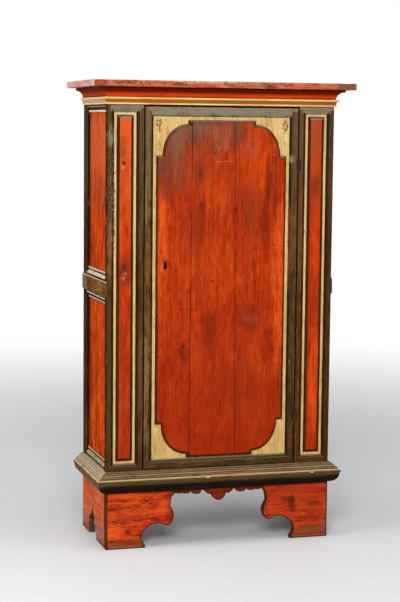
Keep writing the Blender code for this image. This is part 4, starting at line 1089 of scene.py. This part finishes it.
def dress_sides():
    along = (None, CUT, None)
    upright = (None, CUT, LONG_CUT)
    for side in SIDES:
        pick = bare_inside(side)
        for name in ("top", "mid", "bottom"):
            worn("side_" + name + "_rail_" + side, "rail wood_Y",
                 "Y", along, arris=FINE_ARRIS, pick=pick)
        worn("rear_stile_" + side, "rear_stile board_right", "Z",
             upright, pick=pick)
        worn("side_belt_" + side, "belt", "Y", along, arris=MOULDING_ARRIS)
        for name in ("upper", "lower"):
            worn("side_panel_" + name + "_" + side, "side_red board_left",
                 "Z", upright, pick=pick)


def dress_mouldings():
    lengths = (("front", "X", (CUT, None, None)), ("left", "Y", (None, CUT, None)),
               ("right", "Y", (None, CUT, None)))
    for part, axis, spacing in lengths:
        worn("cornice_" + part, "cornice_" + axis, axis, spacing,
             arris=PANEL_ARRIS)
        worn("gilt_moulding_" + part, "gold_" + axis, axis, spacing,
             arris=FINE_ARRIS)
        worn("base_moulding_" + part, "base_" + axis, axis, spacing,
             arris=MOULDING_ARRIS)
    worn("top_board", "salmon_X salmon_Y", "X",
         (CUT, LONG_CUT, None), arris=TOP_ARRIS, pick=end_faces)


def dress_plinth():
    worn("bracket_front", "foot_red wood_X", "X",
         (FINE_CUT, None, CUT), dent=FOOT_DENT, pick=bare_behind)
    for side in SIDES:
        worn("bracket_" + side, "foot_side_red wood_Y", "Y",
             (None, FINE_CUT, CUT), dent=FOOT_DENT, pick=bare_inside(side))


def dress_inside():
    for part in THIRDS:
        worn("back_board_" + part, "board_" + part, "Z",
             (LONG_CUT, None, LONG_CUT))
    for name in ("bottom_board", "hat_shelf"):
        worn(name, "wood_X", "X", (LONG_CUT, LONG_CUT, None))
    worn("peg_rail", "wood_X", "X", (LONG_CUT, None, None), arris=0)
    for side in SIDES:
        worn("shelf_cleat_" + side, "wood_Y", "Y", (None, LONG_CUT, None))
    for name in ("lower", "upper"):
        worn("door_batten_" + name, "wood_X", "X", (LONG_CUT, None, LONG_CUT))


def dress_iron():
    for node in ("hinge_frame_leaf_lower", "hinge_frame_leaf_upper", "hinge_door_leaf_lower",
                 "hinge_door_leaf_upper", "lock_plate", "lock_bolt", "bolt_spring", "keeper"):
        worn(node, "iron", "X", (None, None, None), arris=IRON_ARRIS, wave=0, dent=0)


def add_nails(name, carrier, places, facing, radius=NAIL_RADIUS):
    """Forged nail heads on a node's face, each turned its own way, riding with it."""
    bm = bmesh.new()
    facing = Vector(facing)
    upright = facing.to_track_quat("Z", "Y").to_matrix().to_4x4()
    for index, place in enumerate(places):
        head = bmesh.ops.create_cone(bm, cap_ends=True, segments=NAIL_SIDES, radius1=radius,
                                     radius2=radius * NAIL_TOP_SHARE, depth=NAIL_HEIGHT)
        centre = Vector(place) + facing * (NAIL_HEIGHT / 2 - NAIL_SINK)
        turned = upright @ Matrix.Rotation(index * NAIL_TURN, 4, "Z")
        bmesh.ops.transform(bm, matrix=Matrix.Translation(centre) @ turned, verts=head["verts"])
    bm.verts.layers.float.new("arris")
    piece = add_object(name, bm, "iron")
    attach(piece, frame["nodes"][carrier]["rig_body"])


def spread(low, high, count, margin):
    """Places from one end to the other, the first and last a margin inside."""
    return [low + margin + (high - low - 2 * margin) * index / (count - 1) for index in range(count)]


def drive_nails():
    """Nails in the back boards, the shelf's cleats, the shelf, the battens and the lock plate."""
    levels = [middle_and_half(node)[0].z for node in ("bottom_board", "hat_shelf", "front_top_rail")]
    for part in THIRDS:
        low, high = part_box("back_board_" + part)
        rows = [(x, high.y, z) for z in levels for x in spread(low.x, high.x, 3, NAIL_MARGIN)]
        add_nails("nails_back_" + part, "back_board_" + part, rows, (0, 1, 0))
    shelf_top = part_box("hat_shelf")[1].z
    for side, inward in zip(SIDES, (1, -1)):
        low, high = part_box("shelf_cleat_" + side)
        face = high.x if inward > 0 else low.x
        rows = [(face, y, (low.z + high.z) / 2) for y in spread(low.y, high.y, 3, NAIL_MARGIN)]
        add_nails("nails_cleat_" + side, "shelf_cleat_" + side, rows, (inward, 0, 0))
        rows = [((low.x + high.x) / 2, y, shelf_top) for y in spread(low.y, high.y, 2, NAIL_MARGIN)]
        add_nails("nails_shelf_" + side, "hat_shelf", rows, (0, 0, 1))
    for name in ("lower", "upper"):
        low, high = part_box("door_batten_" + name)
        columns = spread(low.x, high.x, 6, 2 * NAIL_MARGIN)
        rows = [(x, high.y, low.z + (high.z - low.z) * share) for x in columns for share in BATTEN_SHARES]
        add_nails("nails_batten_" + name, "door_batten_" + name, rows, (0, 1, 0))
    low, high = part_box("lock_plate")
    rows = [(x, low.y + PLATE_THICKNESS, z) for x in (low.x + PLATE_MARGIN, high.x - PLATE_MARGIN)
            for z in (low.z + PLATE_MARGIN, high.z - PLATE_MARGIN)]
    add_nails("nails_lock_plate", "lock_plate", rows, (0, 1, 0), PLATE_NAIL_RADIUS)


# Studio

def make_floor():
    """A wide pale floor that fades to white far from the object."""
    g = Graph("floor")
    speckle = g.noise(g.place, 40, 4, 0.7)
    g.set_shader({"Base Color": g.ramp(speckle, ((0.3, (218, 220, 223)), (0.7, (226, 228, 230)))),
                  "Roughness": 0.6, "Specular IOR Level": 0.2})
    reach = g.math("SQRT", g.x * g.x + g.y * g.y)
    white = g.node("Emission", {"Color": WHITE})
    share = g.step(reach, *FLOOR_FADE) * g.seen()
    blend = g.node("MixShader", {0: share, 1: g.shader.outputs[0], 2: white})
    g.put(g.nodes["Material Output"].inputs["Surface"], blend)
    bm = bmesh.new()
    bmesh.ops.create_circle(bm, cap_ends=True, segments=FLOOR_SIDES, radius=FLOOR_RADIUS)
    floor = add_object("floor", bm, "floor")


def make_world():
    """White where it is seen, and a plain grey light elsewhere."""
    world = bpy.data.worlds.new("studio")
    bpy.context.scene.world = world
    world.use_nodes = True
    tree = Tree(world.node_tree)
    plain = tree.node("Background", {"Color": WHITE, "Strength": WORLD_LIGHT})
    white = tree.node("Background", {"Color": WHITE})
    blend = tree.node("MixShader", {0: tree.seen(), 1: plain, 2: white})
    tree.put(tree.nodes["World Output"].inputs["Surface"], blend)


def add_softbox(name, place, size, power):
    lamp = bpy.data.lights.new(name, "AREA")
    lamp.shape = "RECTANGLE"
    lamp.size, lamp.size_y = size
    lamp.energy = power
    item = link_object(name, lamp)
    item.location = place
    item.rotation_euler = (LIGHT_TARGET - Vector(place)).to_track_quat("-Z", "Y").to_euler()


def make_camera():
    level = Matrix.Rotation(CAMERA_YAW, 4, "Z") @ Matrix.Rotation(math.pi / 2 - CAMERA_PITCH, 4, "X")
    turned = level @ Matrix.Rotation(CAMERA_ROLL, 4, "Z")
    lens = bpy.data.cameras.new("camera")
    lens.lens = CAMERA_LENS
    lens.sensor_width = FILM
    lens.sensor_fit = "AUTO"
    camera = link_object("camera", lens)
    camera.matrix_world = Matrix.Translation(CAMERA_PLACE) @ turned
    bpy.context.scene.camera = camera


def make_studio():
    make_floor()
    make_world()
    for box in SOFTBOXES:
        add_softbox(*box)
    make_camera()
    bpy.context.scene.view_settings.view_transform = "Standard"


def main():
    make_materials()
    dress_front()
    dress_sides()
    dress_mouldings()
    dress_plinth()
    dress_inside()
    dress_iron()
    drive_nails()
    make_studio()
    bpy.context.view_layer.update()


main()
